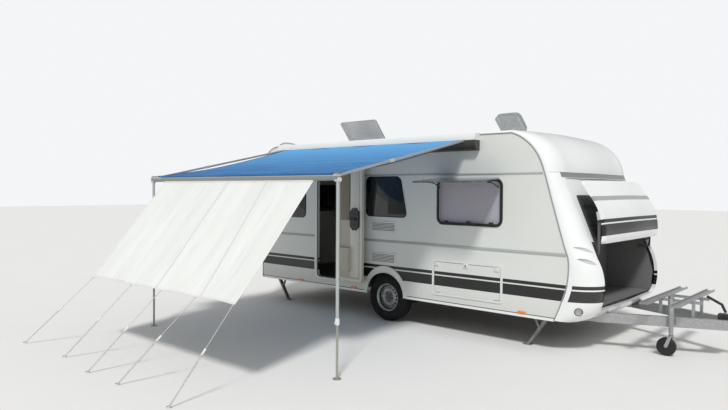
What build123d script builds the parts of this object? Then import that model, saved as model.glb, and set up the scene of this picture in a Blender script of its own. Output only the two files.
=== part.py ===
from build123d import *
import os
from math import atan2, cos, degrees, radians, sin, sqrt

# Travel caravan, parked on its wheels, jockey wheel and corner steadies, with the awning out.
# All sizes are in millimetres. Model axes: x forward from the axle, y to the left of the centre line,
# z up from the ground. Each piece is written with its origin moved to the middle of the ground plan.

os.makedirs("parts", exist_ok=True)

# Middle of the ground plan, from the rear bumper to the coupling and from the pegs to the left wall
PLAN_X, PLAN_Y = 767.5, -1917.0

# Body
HALF_WIDTH = 1150          # outer face of the side walls
WALL = 32                  # sandwich wall
SKIN = 30                  # moulded front and rear shells
SILL_Z = 362               # lower edge of the side walls
WALL_TOP_Z = 2480          # roof seam
ROOF_EDGE_Z, ROOF_CROWN_Z = 2506, 2530
ROOF_EDGE_RADIUS = 30
ROOF_FRONT_X, ROOF_REAR_X = 1900, -2270
REAR_X, REAR_TOP_X, REAR_TOP_Z = -2630, -2605, 2140
FLOOR_LOW_Z, FLOOR_TOP_Z = 420, 465

# Wheels and tyres, 185/65 R14
WHEEL_R, TYRE_WIDTH, BEAD_R = 325, 185, 178
WHEEL_Y = 1028             # middle of a tyre
AXLE_Z = WHEEL_R
ARCH_HALF, ARCH_HIGH, ARCH_BASE_Z = 375, 392, 370   # outer outline of the arch moulding, an ellipse
ARCH_OPEN_HALF, ARCH_OPEN_HIGH = 332, 306

# Door opening and leaf
DOOR_REAR_X, DOOR_FRONT_X, DOOR_LOW_Z, DOOR_TOP_Z = -1330, -806, 500, 2240
DOOR_HINGE_X, DOOR_HINGE_Y, DOOR_OPEN = -811, -1177, 174
DOOR_THICK, DOOR_GAP = 34, 6
DOOR_HINGE_ZS, HINGE_PIN_R = (800, 1370, 1940), 4

# Windows on the door side: (rear x, front x, low z, top z, lean of the front edge)
MAIN_WINDOW = (874, 1768, 1390, 1926, 0)
MIDDLE_WINDOW = (-332, 351, 1455, 1962, 115)
REAR_WINDOW = (-2290, -1620, 1392, 1926, 0)
LEFT_WINDOWS = ((874, 1768, 1390, 1926, 0), (-332, 351, 1455, 1962, 0), (-2290, -1400, 1392, 1926, 0))
HATCH = (790, 1800, 470, 925)                       # service hatch
VENTS = ((-256, 187, 1227, 1370), (-256, 187, 797, 940))

# Front end: locker opening, recessed wall above it and the window in that wall
LOCKER_HALF, LOCKER_LOW_Z, LOCKER_TOP_Z = 900, 500, 1240
RECESS_TOP_HALF, RECESS_TOP_Z = 975, 1950           # the recess widens towards its top
LID_GAP = 7
FRONT_WINDOW_HALF, FRONT_WINDOW_LOW_Z, FRONT_WINDOW_TOP_Z = 760, 1268, 1740

# Lid linkage, all in the xz plane with the lid open
LID_TURN = 11.3            # the lid leans back by this much when it is up
LID_ARM_PIVOT, LID_ARM_PIN = (2674, 1175), (2798.0, 1537.0)
LID_LINK_PIVOT, LID_LINK_PIN = (2683, 1089.5), (2815.6, 1448.7)
LID_CLOSED_PIN = (2830, 825)
LID_KNEE = 126             # forward reach of the gooseneck

# Awning
CASE_FRONT_X, CASE_REAR_X = 1470, -2130
RAIL_Y, RAIL_Z, RAIL_FRONT_X, RAIL_REAR_X = -3457, 1925, 1355, -2035
CANOPY_FRONT_X, CANOPY_REAR_X = 1300, -1985
POST_FRONT_X, POST_REAR_X = 1342, -2020
COLLAR_Z = 519
PANEL_FRONT_X, PANEL_REAR_X, PANEL_FOOT_Y = 1015, -1716, -4400
PANEL_TOP_Z, PANEL_FOOT_Z = 1890, 770
GUYS = ((-1690, -2240, -4950), (-800, -1300, -4890), (-200, -570, -4970), (420, 0, -4950), (1000, 880, -4950))

# Drawbar and chassis
RAIL_HALF, RAIL_DEEP, RAIL_WIDE = 600, 110, 50      # half spacing, depth and flange of the side members
DRAWBAR_BEND_X, DRAWBAR_TIP_X, DRAWBAR_TIP_HALF = 2700, 3920, 75
BALL_X, BALL_Z, BALL_R = 4180, 430, 25.3
JOCKEY_X, JOCKEY_Y, JOCKEY_WHEEL_R, JOCKEY_TRAIL = 3430, -372, 100, 45

# Corner steadies: pivot x, y and the way that the foot points (-1 rearwards, +1 forwards)
STEADIES = {
    "front_right": (2260, -950, -1),
    "front_left": (2260, 950, -1),
    "rear_right": (-2440, -950, 1),
    "rear_left": (-2440, 950, 1),
}
STEADY_PIVOT_Z, STEADY_LENGTH, STEADY_MID = 335, 400, 150
BRACE_LENGTH, SPINDLE_Z = 160, 355


def keep(part, name):
    """Label a finished piece and write it with its origin at the middle of the ground plan."""
    piece = part.moved(Location((-PLAN_X, -PLAN_Y, 0)))
    piece.label = name
    export_step(piece, f"parts/{name}.step")
    return piece


def roof_z(y):
    """Height of the roof at a distance y from the centre line."""
    flat = HALF_WIDTH - ROOF_EDGE_RADIUS
    if abs(y) <= flat:
        return ROOF_EDGE_Z + (ROOF_CROWN_Z - ROOF_EDGE_Z) * (1 - (y / flat) ** 2)
    rise = sqrt(max(0, ROOF_EDGE_RADIUS**2 - (abs(y) - flat) ** 2)) / ROOF_EDGE_RADIUS
    return WALL_TOP_Z + (ROOF_EDGE_Z - WALL_TOP_Z) * rise


# Front curve from the sill to the roof, as arcs and one straight. Columns: x and z on the side seam,
# x and z on the middle of the nose. Rows 0, 2, 4, 6, 7 and 9 are ends, the others lie on the arcs.
FRONT_CURVE = (
    (2445, 366, 2640, 350),
    (2492, 475, 2795, 425),
    (2535, 590, 2882, 555),
    (2585, 745, 2904, 680),
    (2607, 905, 2903, 810),
    (2603, 1060, 2878, 935),
    (2556, 1200, 2822, 1060),
    (2292, 2085, 2440, 2000),
    (2180, 2290, 2278, 2345),
    (ROOF_FRONT_X, WALL_TOP_Z, ROOF_FRONT_X, ROOF_EDGE_Z),
)
CORNER_START, CORNER_LENGTH, NOSE_BULGE = 850, 300, 28


def front_points(y):
    """The ten points of the front curve at a distance y from the centre line."""
    side = max(0.0, abs(y) - CORNER_START) / CORNER_LENGTH
    share = sqrt(max(0.0, 1 - side**2))
    bulge = NOSE_BULGE * max(0.0, 1 - (y / CORNER_START) ** 2) ** 2
    points = []
    for sx, sz, mx, mz in FRONT_CURVE[:-1]:
        points.append((sx + (mx - sx) * share + bulge, sz + (mz - sz) * share))
    points.append((ROOF_FRONT_X, roof_z(y)))
    return points


def front_edges(p):
    """Draw the front curve through its ten points inside the current BuildLine."""
    ThreePointArc(p[0], p[1], p[2])
    ThreePointArc(p[2], p[3], p[4])
    ThreePointArc(p[4], p[5], p[6])
    Line(p[6], p[7])
    ThreePointArc(p[7], p[8], p[9])


def rear_edges(low_z, top_z):
    """Draw the rear edge from the roof down to the sill inside the current BuildLine."""
    ThreePointArc((ROOF_REAR_X, top_z), (-2508, top_z - 98), (REAR_TOP_X, REAR_TOP_Z))
    Line((REAR_TOP_X, REAR_TOP_Z), (REAR_X, low_z))


def window_outline(rear, front, low, top, lean, grow=0.0, radius=70):
    """Rounded window outline as a sketch of its own. The front edge leans back."""
    with BuildSketch() as outline:
        with BuildLine():
            corners = ((rear, low), (front, low), (front - lean, top), (rear, top))
            FilletPolyline(*corners, radius=radius, close=True)
        make_face()
        if grow:
            offset(amount=grow)
    return outline.sketch


# Side walls: flat sandwich plates with the door, windows, hatch, vents and wheel arch cut out
side_cuts = {
    "side_wall_right": (-1, (MAIN_WINDOW, MIDDLE_WINDOW, REAR_WINDOW), True),
    "side_wall_left": (1, LEFT_WINDOWS, False),
}
for wall_name, (side, windows, door_side) in side_cuts.items():
    outer = Plane.XZ.offset(-side * HALF_WIDTH)
    with BuildPart() as side_wall:
        with BuildSketch(outer):
            with BuildLine():
                seam = front_points(HALF_WIDTH)
                front_edges(seam)
                Line(seam[9], (ROOF_REAR_X, WALL_TOP_Z))
                rear_edges(SILL_Z, WALL_TOP_Z)
                Line((REAR_X, SILL_Z), seam[0])
            make_face()
        extrude(amount=side * WALL)
        with BuildSketch(outer):
            for window in windows:
                add(window_outline(*window))
            with Locations((0, ARCH_BASE_Z)):
                Ellipse(ARCH_OPEN_HALF + 16, ARCH_OPEN_HIGH + 16)
            if door_side:
                with Locations(((DOOR_REAR_X + DOOR_FRONT_X) / 2, (DOOR_LOW_Z + DOOR_TOP_Z) / 2)):
                    RectangleRounded(DOOR_FRONT_X - DOOR_REAR_X, DOOR_TOP_Z - DOOR_LOW_Z, 60)
                with Locations(((HATCH[0] + HATCH[1]) / 2, (HATCH[2] + HATCH[3]) / 2)):
                    Rectangle(HATCH[1] - HATCH[0] - 40, HATCH[3] - HATCH[2] - 40)
                for rear, front, low, top in VENTS:
                    with Locations(((rear + front) / 2, (low + top) / 2)):
                        Rectangle(front - rear - 60, top - low - 40)
        extrude(amount=side * WALL, mode=Mode.SUBTRACT)
    keep(side_wall.part, wall_name)

# Roof: one long panel with a shallow crown and rounded edges
with BuildPart() as roof:
    with BuildSketch(Plane.YZ.offset(ROOF_REAR_X)):
        with BuildLine():
            edge = HALF_WIDTH - ROOF_EDGE_RADIUS
            bend = ROOF_EDGE_RADIUS * 0.707
            knee_z = WALL_TOP_Z + (ROOF_EDGE_Z - WALL_TOP_Z) * 0.707
            ThreePointArc((-HALF_WIDTH, WALL_TOP_Z), (-edge - bend, knee_z), (-edge, ROOF_EDGE_Z))
            ThreePointArc((-edge, ROOF_EDGE_Z), (0, ROOF_CROWN_Z), (edge, ROOF_EDGE_Z))
            ThreePointArc((edge, ROOF_EDGE_Z), (edge + bend, knee_z), (HALF_WIDTH, WALL_TOP_Z))
            Line((HALF_WIDTH, WALL_TOP_Z), (edge - 20, WALL_TOP_Z))
            ThreePointArc((edge - 20, WALL_TOP_Z), (0, ROOF_CROWN_Z - SKIN), (20 - edge, WALL_TOP_Z))
            Line((20 - edge, WALL_TOP_Z), (-HALF_WIDTH, WALL_TOP_Z))
        make_face()
    extrude(amount=ROOF_FRONT_X - ROOF_REAR_X)
    # openings of the two rooflights: centre x, centre y, length, width and corner radius of the lid
    ROOFLIGHTS = {"rear": (-1180, -400, 760, 400, 45), "front": (1310, -150, 380, 360, 85)}
    for rx, ry, long, wide, _ in ROOFLIGHTS.values():
        with BuildSketch(Plane.XY.offset(WALL_TOP_Z - 10)):
            with Locations((rx, ry)):
                Rectangle(long - 60, wide - 60)
        extrude(amount=100, mode=Mode.SUBTRACT)
keep(roof.part, "roof")

# Rooflight frames: raised rims that line the openings
ROOFLIGHT_RIM_Z = 2560
with BuildPart() as rooflight_frames:
    for rx, ry, long, wide, _ in ROOFLIGHTS.values():
        for low_z, grow in ((WALL_TOP_Z, -61), (ROOF_CROWN_Z + 1, 0)):
            with BuildSketch(Plane.XY.offset(low_z)):
                with Locations((rx, ry)):
                    Rectangle(long + grow, wide + grow)
            extrude(amount=ROOFLIGHT_RIM_Z - low_z)
        with BuildSketch(Plane.XY.offset(WALL_TOP_Z - 5)):
            with Locations((rx, ry)):
                Rectangle(long - 84, wide - 84)
        extrude(amount=100, mode=Mode.SUBTRACT)
keep(rooflight_frames.part, "rooflight_frames")

# Rooflight lids: domed clear trays on a hinge rod at the far side, standing open.
# Each is two tapered steps, given as start height, inset, height and lean; the front one is deep.
ROOFLIGHT_HINGE_Z, LID_WALL = 2568, 5
ROOFLIGHT_OPEN = {"rear": 50, "front": 40}
LID_STEPS = {"rear": ((0, 0, 24, 14), (24, 6, 20, 52)), "front": ((0, 0, 62, 12), (62, 13, 32, 46))}
for which, (rx, ry, long, wide, corner_r) in ROOFLIGHTS.items():
    with BuildPart() as lid:
        for mode, less in ((Mode.ADD, 0), (Mode.SUBTRACT, LID_WALL)):
            for low_z, inward, high, lean in LID_STEPS[which]:
                with BuildSketch(Plane.XY.offset(ROOFLIGHT_HINGE_Z + low_z)):
                    with Locations((rx, ry)):
                        shrink = 2 * (inward + less)
                        RectangleRounded(long - shrink, wide - shrink, corner_r - inward - less)
                extrude(amount=high - (less if low_z else 0), taper=lean, mode=mode)
        with BuildSketch(Plane.YZ.offset(rx - long / 2 + corner_r)):
            with Locations((ry + wide / 2 - 1, ROOFLIGHT_HINGE_Z)):
                Circle(5)
        extrude(amount=long - 2 * corner_r)
    hinge = Axis((rx, ry + wide / 2 - 1, ROOFLIGHT_HINGE_Z), (1, 0, 0))
    keep(lid.part.rotate(hinge, -ROOFLIGHT_OPEN[which]), f"rooflight_lid_{which}")

# Front shell: sections across the nose, lofted, with a like one inside taken away for the skin.
# The middle has evenly spaced sections, and each corner has them at even angles of its ellipse.
CORNER_STEPS = 6
corner = [CORNER_START + CORNER_LENGTH * sin(radians(90 * n / CORNER_STEPS)) for n in range(CORNER_STEPS + 1)]
middle = [CORNER_START * n / 2 for n in range(-2, 3)]


def front_loft():
    """The full nose as one solid from the roof joint forwards."""
    with BuildPart() as nose:
        for stations in ([-y for y in reversed(corner)], middle, corner):
            with BuildPart(mode=Mode.PRIVATE) as third:
                for y in stations:
                    with BuildSketch(Plane.XZ.offset(-y)):
                        with BuildLine():
                            p = front_points(y)
                            front_edges(p)
                            Polyline(p[9], (ROOF_FRONT_X, p[0][1]), p[0])
                        make_face()
                loft()
            add(third.part)
    return nose.part


SCALE_CENTRE = Vector(1500, 0, 1300)
INNER_SCALE = 1 - SKIN / 1200
nose_solid = front_loft()
inner_solid = scale(nose_solid, by=INNER_SCALE).moved(Location(SCALE_CENTRE * (1 - INNER_SCALE)))



def opening_prism(gap):
    """The room inside the front opening, a gap clear of its edges."""
    with BuildPart() as room:
        with BuildSketch(Plane.YZ.offset(ROOF_FRONT_X + 60)):
            with BuildLine():
                low_half, top_half = LOCKER_HALF - gap, RECESS_TOP_HALF - gap
                low_z, top_z = LOCKER_LOW_Z + gap, RECESS_TOP_Z - gap
                FilletPolyline((-low_half, low_z), (low_half, low_z), (low_half, LOCKER_TOP_Z),
                               (top_half, top_z), (-top_half, top_z), (-low_half, LOCKER_TOP_Z),
                               radius=50 - gap, close=True)
            make_face()
        extrude(amount=1340)
    return room.part


# Grip scoops in the nose corners: both ends of the mouth on the shell, half its height, and how far
# the floor's middle stands out from the line between the ends
GRIP_SCOOPS = (
    ((2630, 1128, 1188), (2792, 925, 1128), 17, 15),
    ((2672, 1128, 1064), (2838, 958, 1000), 22, 7),
)
LAMP_R, LAMP_CENTRE, LAMP_FACING = 42, (2693, 1092, 488), (0.49, 0.82, -0.31)


def scoop(low_end, high_end, half_high, rise, side):
    """A leaf-shaped hollow in the shell of one side, with a floor that is flatter than the shell."""
    start, end = (Vector(x, side * y, z) for x, y, z in (low_end, high_end))
    middle, half_long = (start + end) / 2, (end - start).length / 2
    along = (end - start).normalized()
    facing = Vector(0.76, side * 0.58, 0.29)
    facing = (facing - along * facing.dot(along)).normalized()
    with BuildPart() as hollow:
        with BuildSketch(Plane(origin=middle, x_dir=along, z_dir=facing)):
            with BuildLine():
                ThreePointArc((-half_long, 0), (0, half_high), (half_long, 0))
                ThreePointArc((half_long, 0), (0, -half_high), (-half_long, 0))
            make_face()
        extrude(amount=90, both=True)
        with BuildSketch(Plane(origin=middle, x_dir=along, z_dir=along.cross(facing))):
            with BuildLine():
                ThreePointArc((-half_long, 0), (0, rise), (half_long, 0))
                Polyline((half_long, 0), (half_long, 80), (-half_long, 80), (-half_long, 0))
            make_face()
        extrude(amount=60, both=True, mode=Mode.INTERSECT)
    return hollow.part


def lamp_barrel(side, radius, back, front):
    """A cylinder square to the shell at the position lamp, from behind its face to before it."""
    x, y, z = LAMP_CENTRE
    facing = Vector(LAMP_FACING[0], side * LAMP_FACING[1], LAMP_FACING[2]).normalized()
    with BuildPart() as barrel:
        with BuildSketch(Plane(origin=Vector(x, side * y, z) - facing * back, z_dir=facing)):
            Circle(radius)
        extrude(amount=back + front)
    return barrel.part


with BuildPart() as front_moulding:
    add(nose_solid)
    add(inner_solid, mode=Mode.SUBTRACT)
    # the body behind the side seams
    with BuildSketch(Plane.XZ.offset(HALF_WIDTH + 5)):
        with BuildLine():
            seam = front_points(HALF_WIDTH)
            front_edges(seam)
            Polyline(seam[9], (ROOF_FRONT_X - 900, WALL_TOP_Z), (ROOF_FRONT_X - 900, SILL_Z - 60),
                     (seam[0][0], SILL_Z - 60), seam[0])
        make_face()
    extrude(amount=-2 * HALF_WIDTH - 10, mode=Mode.SUBTRACT)
    add(opening_prism(0), mode=Mode.SUBTRACT)
    # two scoops in each corner leave a bar to grip, and a round pocket below holds the position lamp
    for side in (-1, 1):
        for low_end, high_end, half_high, rise in GRIP_SCOOPS:
            add(scoop(low_end, high_end, half_high, rise, side), mode=Mode.SUBTRACT)
        add(lamp_barrel(side, LAMP_R, 24, 60), mode=Mode.SUBTRACT)
    # notches in the lower edge for the drawbar beams
    for side in (-1, 1):
        with Locations((2700, side * (RAIL_HALF - 30), 380)):
            Box(700, RAIL_WIDE + 110, 2 * (FLOOR_LOW_Z + 8 - 380), mode=Mode.SUBTRACT)
keep(front_moulding.part, "front_moulding")

# Position lamps: clear round lenses at the bottom of their pockets
with BuildPart() as front_lamps:
    for side in (-1, 1):
        add(lamp_barrel(side, LAMP_R - 2, 23.5, -12))
keep(front_lamps.part, "front_lamps")

# Locker lid: cut from the same shell, so that it closes flush, then moved to its open place
with BuildPart() as locker_lid:
    add(nose_solid)
    add(inner_solid, mode=Mode.SUBTRACT)
    with BuildSketch(Plane.YZ.offset(ROOF_FRONT_X + 200)):
        with Locations((0, (LOCKER_LOW_Z + LOCKER_TOP_Z) / 2)):
            RectangleRounded(2 * (LOCKER_HALF - LID_GAP), LOCKER_TOP_Z - LOCKER_LOW_Z - 2 * LID_GAP, 45)
    extrude(amount=1200, mode=Mode.INTERSECT)
    # brackets inside the lid that take the arms and the links
    for side in (-1, 1):
        with BuildSketch(Plane.XZ.offset(side * 843)):
            with BuildLine():
                Polyline((2812, 700), (2812, 860), (2880, 890), (2890, 780), (2890, 680), close=True)
            make_face()
        extrude(amount=4, both=True)
        for pin_z, reach in ((LID_CLOSED_PIN[1], -14), (LID_CLOSED_PIN[1] - 90, 14)):
            with BuildSketch(Plane.XZ.offset(side * 843)):
                with Locations((LID_CLOSED_PIN[0], pin_z)):
                    Circle(5)
            extrude(amount=side * reach)
closed_pin = Vector(LID_CLOSED_PIN[0], 0, LID_CLOSED_PIN[1])
open_pin = Vector(LID_ARM_PIN[0], 0, LID_ARM_PIN[1])
lid_up = locker_lid.part.rotate(Axis(closed_pin, (0, 1, 0)), -LID_TURN)
keep(lid_up.moved(Location(open_pin - closed_pin)), "locker_lid")

# Gooseneck arms and links that carry the lid
# The lid turns at a constant ratio, so its lower pins wander a few millimetres in the links' slots.
LINK_SLOT, LINK_SLOT_R = ((-4.9, 0.7), (1.1, 0.7)), 7
for name, pivot, pin, plane_y in (
    ("lid_arms", LID_ARM_PIVOT, LID_ARM_PIN, 831),
    ("lid_links", LID_LINK_PIVOT, LID_LINK_PIN, 853),
):
    with BuildPart() as arms:
        for side in (-1, 1):
            with BuildSketch(Plane.XZ.offset(side * plane_y)):
                with BuildLine() as centre_line:
                    FilletPolyline(pivot, (pivot[0] + LID_KNEE, pivot[1]), pin, radius=40)
                trace(line_width=26)
                with Locations(pivot, pin):
                    Circle(18)
                with Locations(pivot, pin):
                    Circle(5.6, mode=Mode.SUBTRACT)
                if name == "lid_links":
                    ends = [(pin[0] + dx, pin[1] + dz) for dx, dz in LINK_SLOT]
                    with Locations(*ends):
                        Circle(LINK_SLOT_R, mode=Mode.SUBTRACT)
                    with Locations(((ends[0][0] + ends[1][0]) / 2, ends[0][1])):
                        Rectangle(ends[1][0] - ends[0][0], 2 * LINK_SLOT_R, mode=Mode.SUBTRACT)
            extrude(amount=3, both=True)
    keep(arms.part, name)

# Recessed wall above the locker, with the front window set in it
RECESS = 10
WALL_LEAN = (FRONT_CURVE[7][2] - FRONT_CURVE[6][2]) / (FRONT_CURVE[7][3] - FRONT_CURVE[6][3])


def slant_x(z, back=0.0):
    """x of the straight part of the nose at height z, a distance behind its face."""
    return FRONT_CURVE[6][2] + (z - FRONT_CURVE[6][3]) * WALL_LEAN - back


def slanted_panel(half, low, top, back, thick):
    """A panel across the front that follows the slant of the nose."""
    with BuildPart() as panel:
        with BuildSketch(Plane.XZ.offset(half)):
            with BuildLine():
                Polyline((slant_x(low, back), low), (slant_x(top, back), top),
                         (slant_x(top, back + thick), top), (slant_x(low, back + thick), low), close=True)
            make_face()
        extrude(amount=-2 * half)
    return panel.part


window_middle_z = (FRONT_WINDOW_LOW_Z + FRONT_WINDOW_TOP_Z) / 2
window_high = FRONT_WINDOW_TOP_Z - FRONT_WINDOW_LOW_Z
with BuildPart() as front_wall:
    add(slanted_panel(RECESS_TOP_HALF - 3, LOCKER_TOP_Z, RECESS_TOP_Z - 4, RECESS, SKIN))
    add(opening_prism(3), mode=Mode.INTERSECT)
    with BuildSketch(Plane.YZ.offset(ROOF_FRONT_X + 200)):
        with Locations((0, window_middle_z)):
            RectangleRounded(2 * FRONT_WINDOW_HALF, window_high, 60)
    extrude(amount=1200, mode=Mode.SUBTRACT)
keep(front_wall.part, "front_wall")

# Gas locker: the box behind the lid, open to the front
with BuildPart() as gas_locker:
    back_x, floor_z, sheet = 2230, LOCKER_LOW_Z + 3, 14
    with BuildSketch(Plane.XZ.offset(LOCKER_HALF - 3)):
        with BuildLine():
            Polyline((back_x, floor_z), (2790, floor_z), (2830, 600), (2845, 760), (2780, 1000),
                     (2690, LOCKER_TOP_Z - 4), (back_x, LOCKER_TOP_Z - 4), close=True)
        make_face()
    extrude(amount=-2 * (LOCKER_HALF - 3))
    with BuildSketch(Plane.YZ.offset(back_x + sheet)):
        with Locations((0, (floor_z + LOCKER_TOP_Z - 4) / 2)):
            Rectangle(2 * (LOCKER_HALF - 3 - sheet), LOCKER_TOP_Z - 4 - floor_z - 2 * sheet)
    extrude(amount=800, mode=Mode.SUBTRACT)
    add(opening_prism(3), mode=Mode.INTERSECT)
    # pins that the arms and the links turn on, the arms' longer ones past the links
    for side in (-1, 1):
        for (px, pz), reach in ((LID_ARM_PIVOT, 60), (LID_LINK_PIVOT, 36)):
            with BuildSketch(Plane.XZ.offset(side * (LOCKER_HALF - 3 - sheet))):
                with Locations((px, pz)):
                    Circle(5)
            extrude(amount=-side * reach)
keep(gas_locker.part, "gas_locker")

# Rear wall: a panel with a rolled top, its window opening, and a deep lower moulding
with BuildPart() as rear_wall:
    flat_half = HALF_WIDTH - ROOF_EDGE_RADIUS
    for y in (-HALF_WIDTH, -flat_half, -600, 0, 600, flat_half, HALF_WIDTH):
        with BuildSketch(Plane.XZ.offset(-y)):
            with BuildLine():
                rear_edges(SILL_Z, roof_z(y))
                Polyline((REAR_X, SILL_Z), (ROOF_REAR_X, SILL_Z), (ROOF_REAR_X, roof_z(y)))
            make_face()
    loft()
    # hollow behind the skin, and room for the side walls
    with BuildSketch(Plane.XZ.offset(HALF_WIDTH - WALL)):
        with BuildLine():
            inner_top = (REAR_TOP_X + SKIN, REAR_TOP_Z - 10)
            ThreePointArc((ROOF_REAR_X, WALL_TOP_Z), (-2480, WALL_TOP_Z - 90), inner_top)
            Polyline(inner_top, (REAR_X + SKIN, SILL_Z - 5), (ROOF_REAR_X + 5, SILL_Z - 5),
                     (ROOF_REAR_X + 5, WALL_TOP_Z), (ROOF_REAR_X, WALL_TOP_Z))
        make_face()
    extrude(amount=-2 * (HALF_WIDTH - WALL), mode=Mode.SUBTRACT)
    with BuildSketch(Plane.XZ.offset(HALF_WIDTH + 5)):
        with BuildLine():
            rear_edges(SILL_Z, WALL_TOP_Z)
            Polyline((REAR_X, SILL_Z), (ROOF_REAR_X + 5, SILL_Z), (ROOF_REAR_X + 5, WALL_TOP_Z),
                     (ROOF_REAR_X, WALL_TOP_Z))
        make_face()
    extrude(amount=-WALL - 5, mode=Mode.SUBTRACT)
    with BuildSketch(Plane.XZ.offset(-HALF_WIDTH - 5)):
        with BuildLine():
            rear_edges(SILL_Z, WALL_TOP_Z)
            Polyline((REAR_X, SILL_Z), (ROOF_REAR_X + 5, SILL_Z), (ROOF_REAR_X + 5, WALL_TOP_Z),
                     (ROOF_REAR_X, WALL_TOP_Z))
        make_face()
    extrude(amount=WALL + 5, mode=Mode.SUBTRACT)
    with BuildSketch(Plane.YZ.offset(REAR_X - 50)):
        with Locations((0, 1650)):
            RectangleRounded(1100, 480, 60)
    extrude(amount=200, mode=Mode.SUBTRACT)
keep(rear_wall.part, "rear_wall")

# Rear bumper: the lower moulding with recesses for the tail lamps and a blank plate pocket
BUMPER_X, BUMPER_TOP_Z, BUMPER_LOW_Z = REAR_X - 45, 610, 350
with BuildPart() as rear_bumper:
    with BuildSketch(Plane.XY.offset(BUMPER_LOW_Z)):
        with Locations(((BUMPER_X + REAR_X) / 2, 0)):
            RectangleRounded(REAR_X - BUMPER_X, 2 * HALF_WIDTH - 40, 20)
    extrude(amount=BUMPER_TOP_Z - BUMPER_LOW_Z)
    with BuildSketch(Plane.YZ.offset(BUMPER_X)):
        with Locations((-880, 480), (880, 480)):
            RectangleRounded(420, 130, 20)
        with Locations((0, 470)):
            Rectangle(540, 130)
    extrude(amount=18, mode=Mode.SUBTRACT)
keep(rear_bumper.part, "rear_bumper")

# Tail lamps, set in the bumper
with BuildPart() as tail_lamps:
    with BuildSketch(Plane.YZ.offset(BUMPER_X + 18)):
        with Locations((-880, 480), (880, 480)):
            RectangleRounded(416, 126, 18)
    extrude(amount=-26)
keep(tail_lamps.part, "tail_lamps")

# Orange side markers on the sills
with BuildPart() as side_markers:
    for side in (-1, 1):
        with BuildSketch(Plane.XZ.offset(side * HALF_WIDTH)):
            with Locations((2050, 403), (-580, 404), (-1700, 404)):
                RectangleRounded(100, 30, 10)
        extrude(amount=side * 14)
keep(side_markers.part, "side_markers")

# Floor: a sandwich plate between the side walls, with boxes over the wheels
WHEEL_BOX_IN, WHEEL_BOX_TOP, WHEEL_BOX_HALF = 905, 740, 375
with BuildPart() as floor:
    with BuildSketch(Plane.XY.offset(FLOOR_LOW_Z)):
        with BuildLine():
            rear_end, half = REAR_X + SKIN + 4, HALF_WIDTH - WALL
            Polyline((rear_end, -half), (2440, -half), (2440, half), (rear_end, half), close=True)
        make_face()
    extrude(amount=FLOOR_TOP_Z - FLOOR_LOW_Z)
    for side in (-1, 1):
        box_y, room_y = (WHEEL_BOX_IN + half) / 2, (WHEEL_BOX_IN + 20 + HALF_WIDTH) / 2
        box_high, room_high = WHEEL_BOX_TOP + 20 - FLOOR_LOW_Z, WHEEL_BOX_TOP - FLOOR_LOW_Z + 40
        with Locations((0, side * box_y, FLOOR_LOW_Z + box_high / 2)):
            Box(2 * WHEEL_BOX_HALF + 40, half - WHEEL_BOX_IN, box_high)
        with Locations((0, side * room_y, WHEEL_BOX_TOP - room_high / 2)):
            Box(2 * WHEEL_BOX_HALF, HALF_WIDTH - WHEEL_BOX_IN - 20, room_high, mode=Mode.SUBTRACT)
keep(floor.part, "floor")

# Cabinets that show through the door and the windows: kitchen block, wardrobe and seat chest.
# Each is a box of panels, open on the side that stands against a wall or the floor.
BOARD = 18
with BuildPart() as cabinets:
    kitchen_low, kitchen_high = WHEEL_BOX_TOP + 20, 1380
    with Locations((-150, -HALF_WIDTH + WALL + 280, (kitchen_low + kitchen_high) / 2)):
        Box(1100, 540, kitchen_high - kitchen_low)
    with Locations((-150, -HALF_WIDTH + WALL + 280 - BOARD, (kitchen_low + kitchen_high) / 2)):
        Box(1100 - 2 * BOARD, 540, kitchen_high - kitchen_low - 2 * BOARD, mode=Mode.SUBTRACT)
    with Locations((-900, HALF_WIDTH - WALL - 240, (FLOOR_TOP_Z + 2420) / 2)):
        Box(700, 460, 2420 - FLOOR_TOP_Z)
    with Locations((-900, HALF_WIDTH - WALL - 240 + BOARD, (FLOOR_TOP_Z + 2420) / 2)):
        Box(700 - 2 * BOARD, 460, 2420 - FLOOR_TOP_Z - 2 * BOARD, mode=Mode.SUBTRACT)
    with Locations((1500, 0, (FLOOR_TOP_Z + 900) / 2)):
        Box(1300, 1900, 900 - FLOOR_TOP_Z)
    with Locations((1500, 0, (FLOOR_TOP_Z + 900) / 2 - BOARD)):
        Box(1300 - 2 * BOARD, 1900 - 2 * BOARD, 900 - FLOOR_TOP_Z, mode=Mode.SUBTRACT)
keep(cabinets.part, "cabinets")

# Black window frame and lowered blind of the main window
rear, front, low, top, lean = MAIN_WINDOW
with BuildPart() as main_window_frame:
    with BuildSketch(Plane.XZ.offset(HALF_WIDTH)):
        add(window_outline(*MAIN_WINDOW, grow=22, radius=70))
        with BuildLine():
            FilletPolyline((rear + 14, low + 14), (front - 14, low + 14), (front - 14, top - 14),
                           (rear + 14, top - 14), radius=56, close=True)
        make_face(mode=Mode.SUBTRACT)
    extrude(amount=9)
keep(main_window_frame.part, "main_window_frame")

with BuildPart() as blind:
    with Locations(((rear + front) / 2, -HALF_WIDTH + WALL + 8, (low + top) / 2)):
        Box(front - rear + 30, 10, top - low + 30)
keep(blind.part, "blind")

# The main window's acrylic pane, hung from its top edge and standing open
PANE_OPEN = 85
with BuildPart() as main_window_pane:
    with BuildSketch(Plane.XZ.offset(HALF_WIDTH + 14)):
        add(window_outline(rear - 16, front + 16, low - 16, top + 16, 0, radius=75))
    extrude(amount=16)
    with BuildSketch(Plane.XZ.offset(HALF_WIDTH + 14)):
        add(window_outline(rear - 8, front + 8, low - 8, top + 8, 0, radius=70))
    extrude(amount=11, mode=Mode.SUBTRACT)
pane_hinge = Axis((0, -HALF_WIDTH - 20, top + 20), (1, 0, 0))
keep(main_window_pane.part.rotate(pane_hinge, -PANE_OPEN), "main_window_pane")

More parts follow.
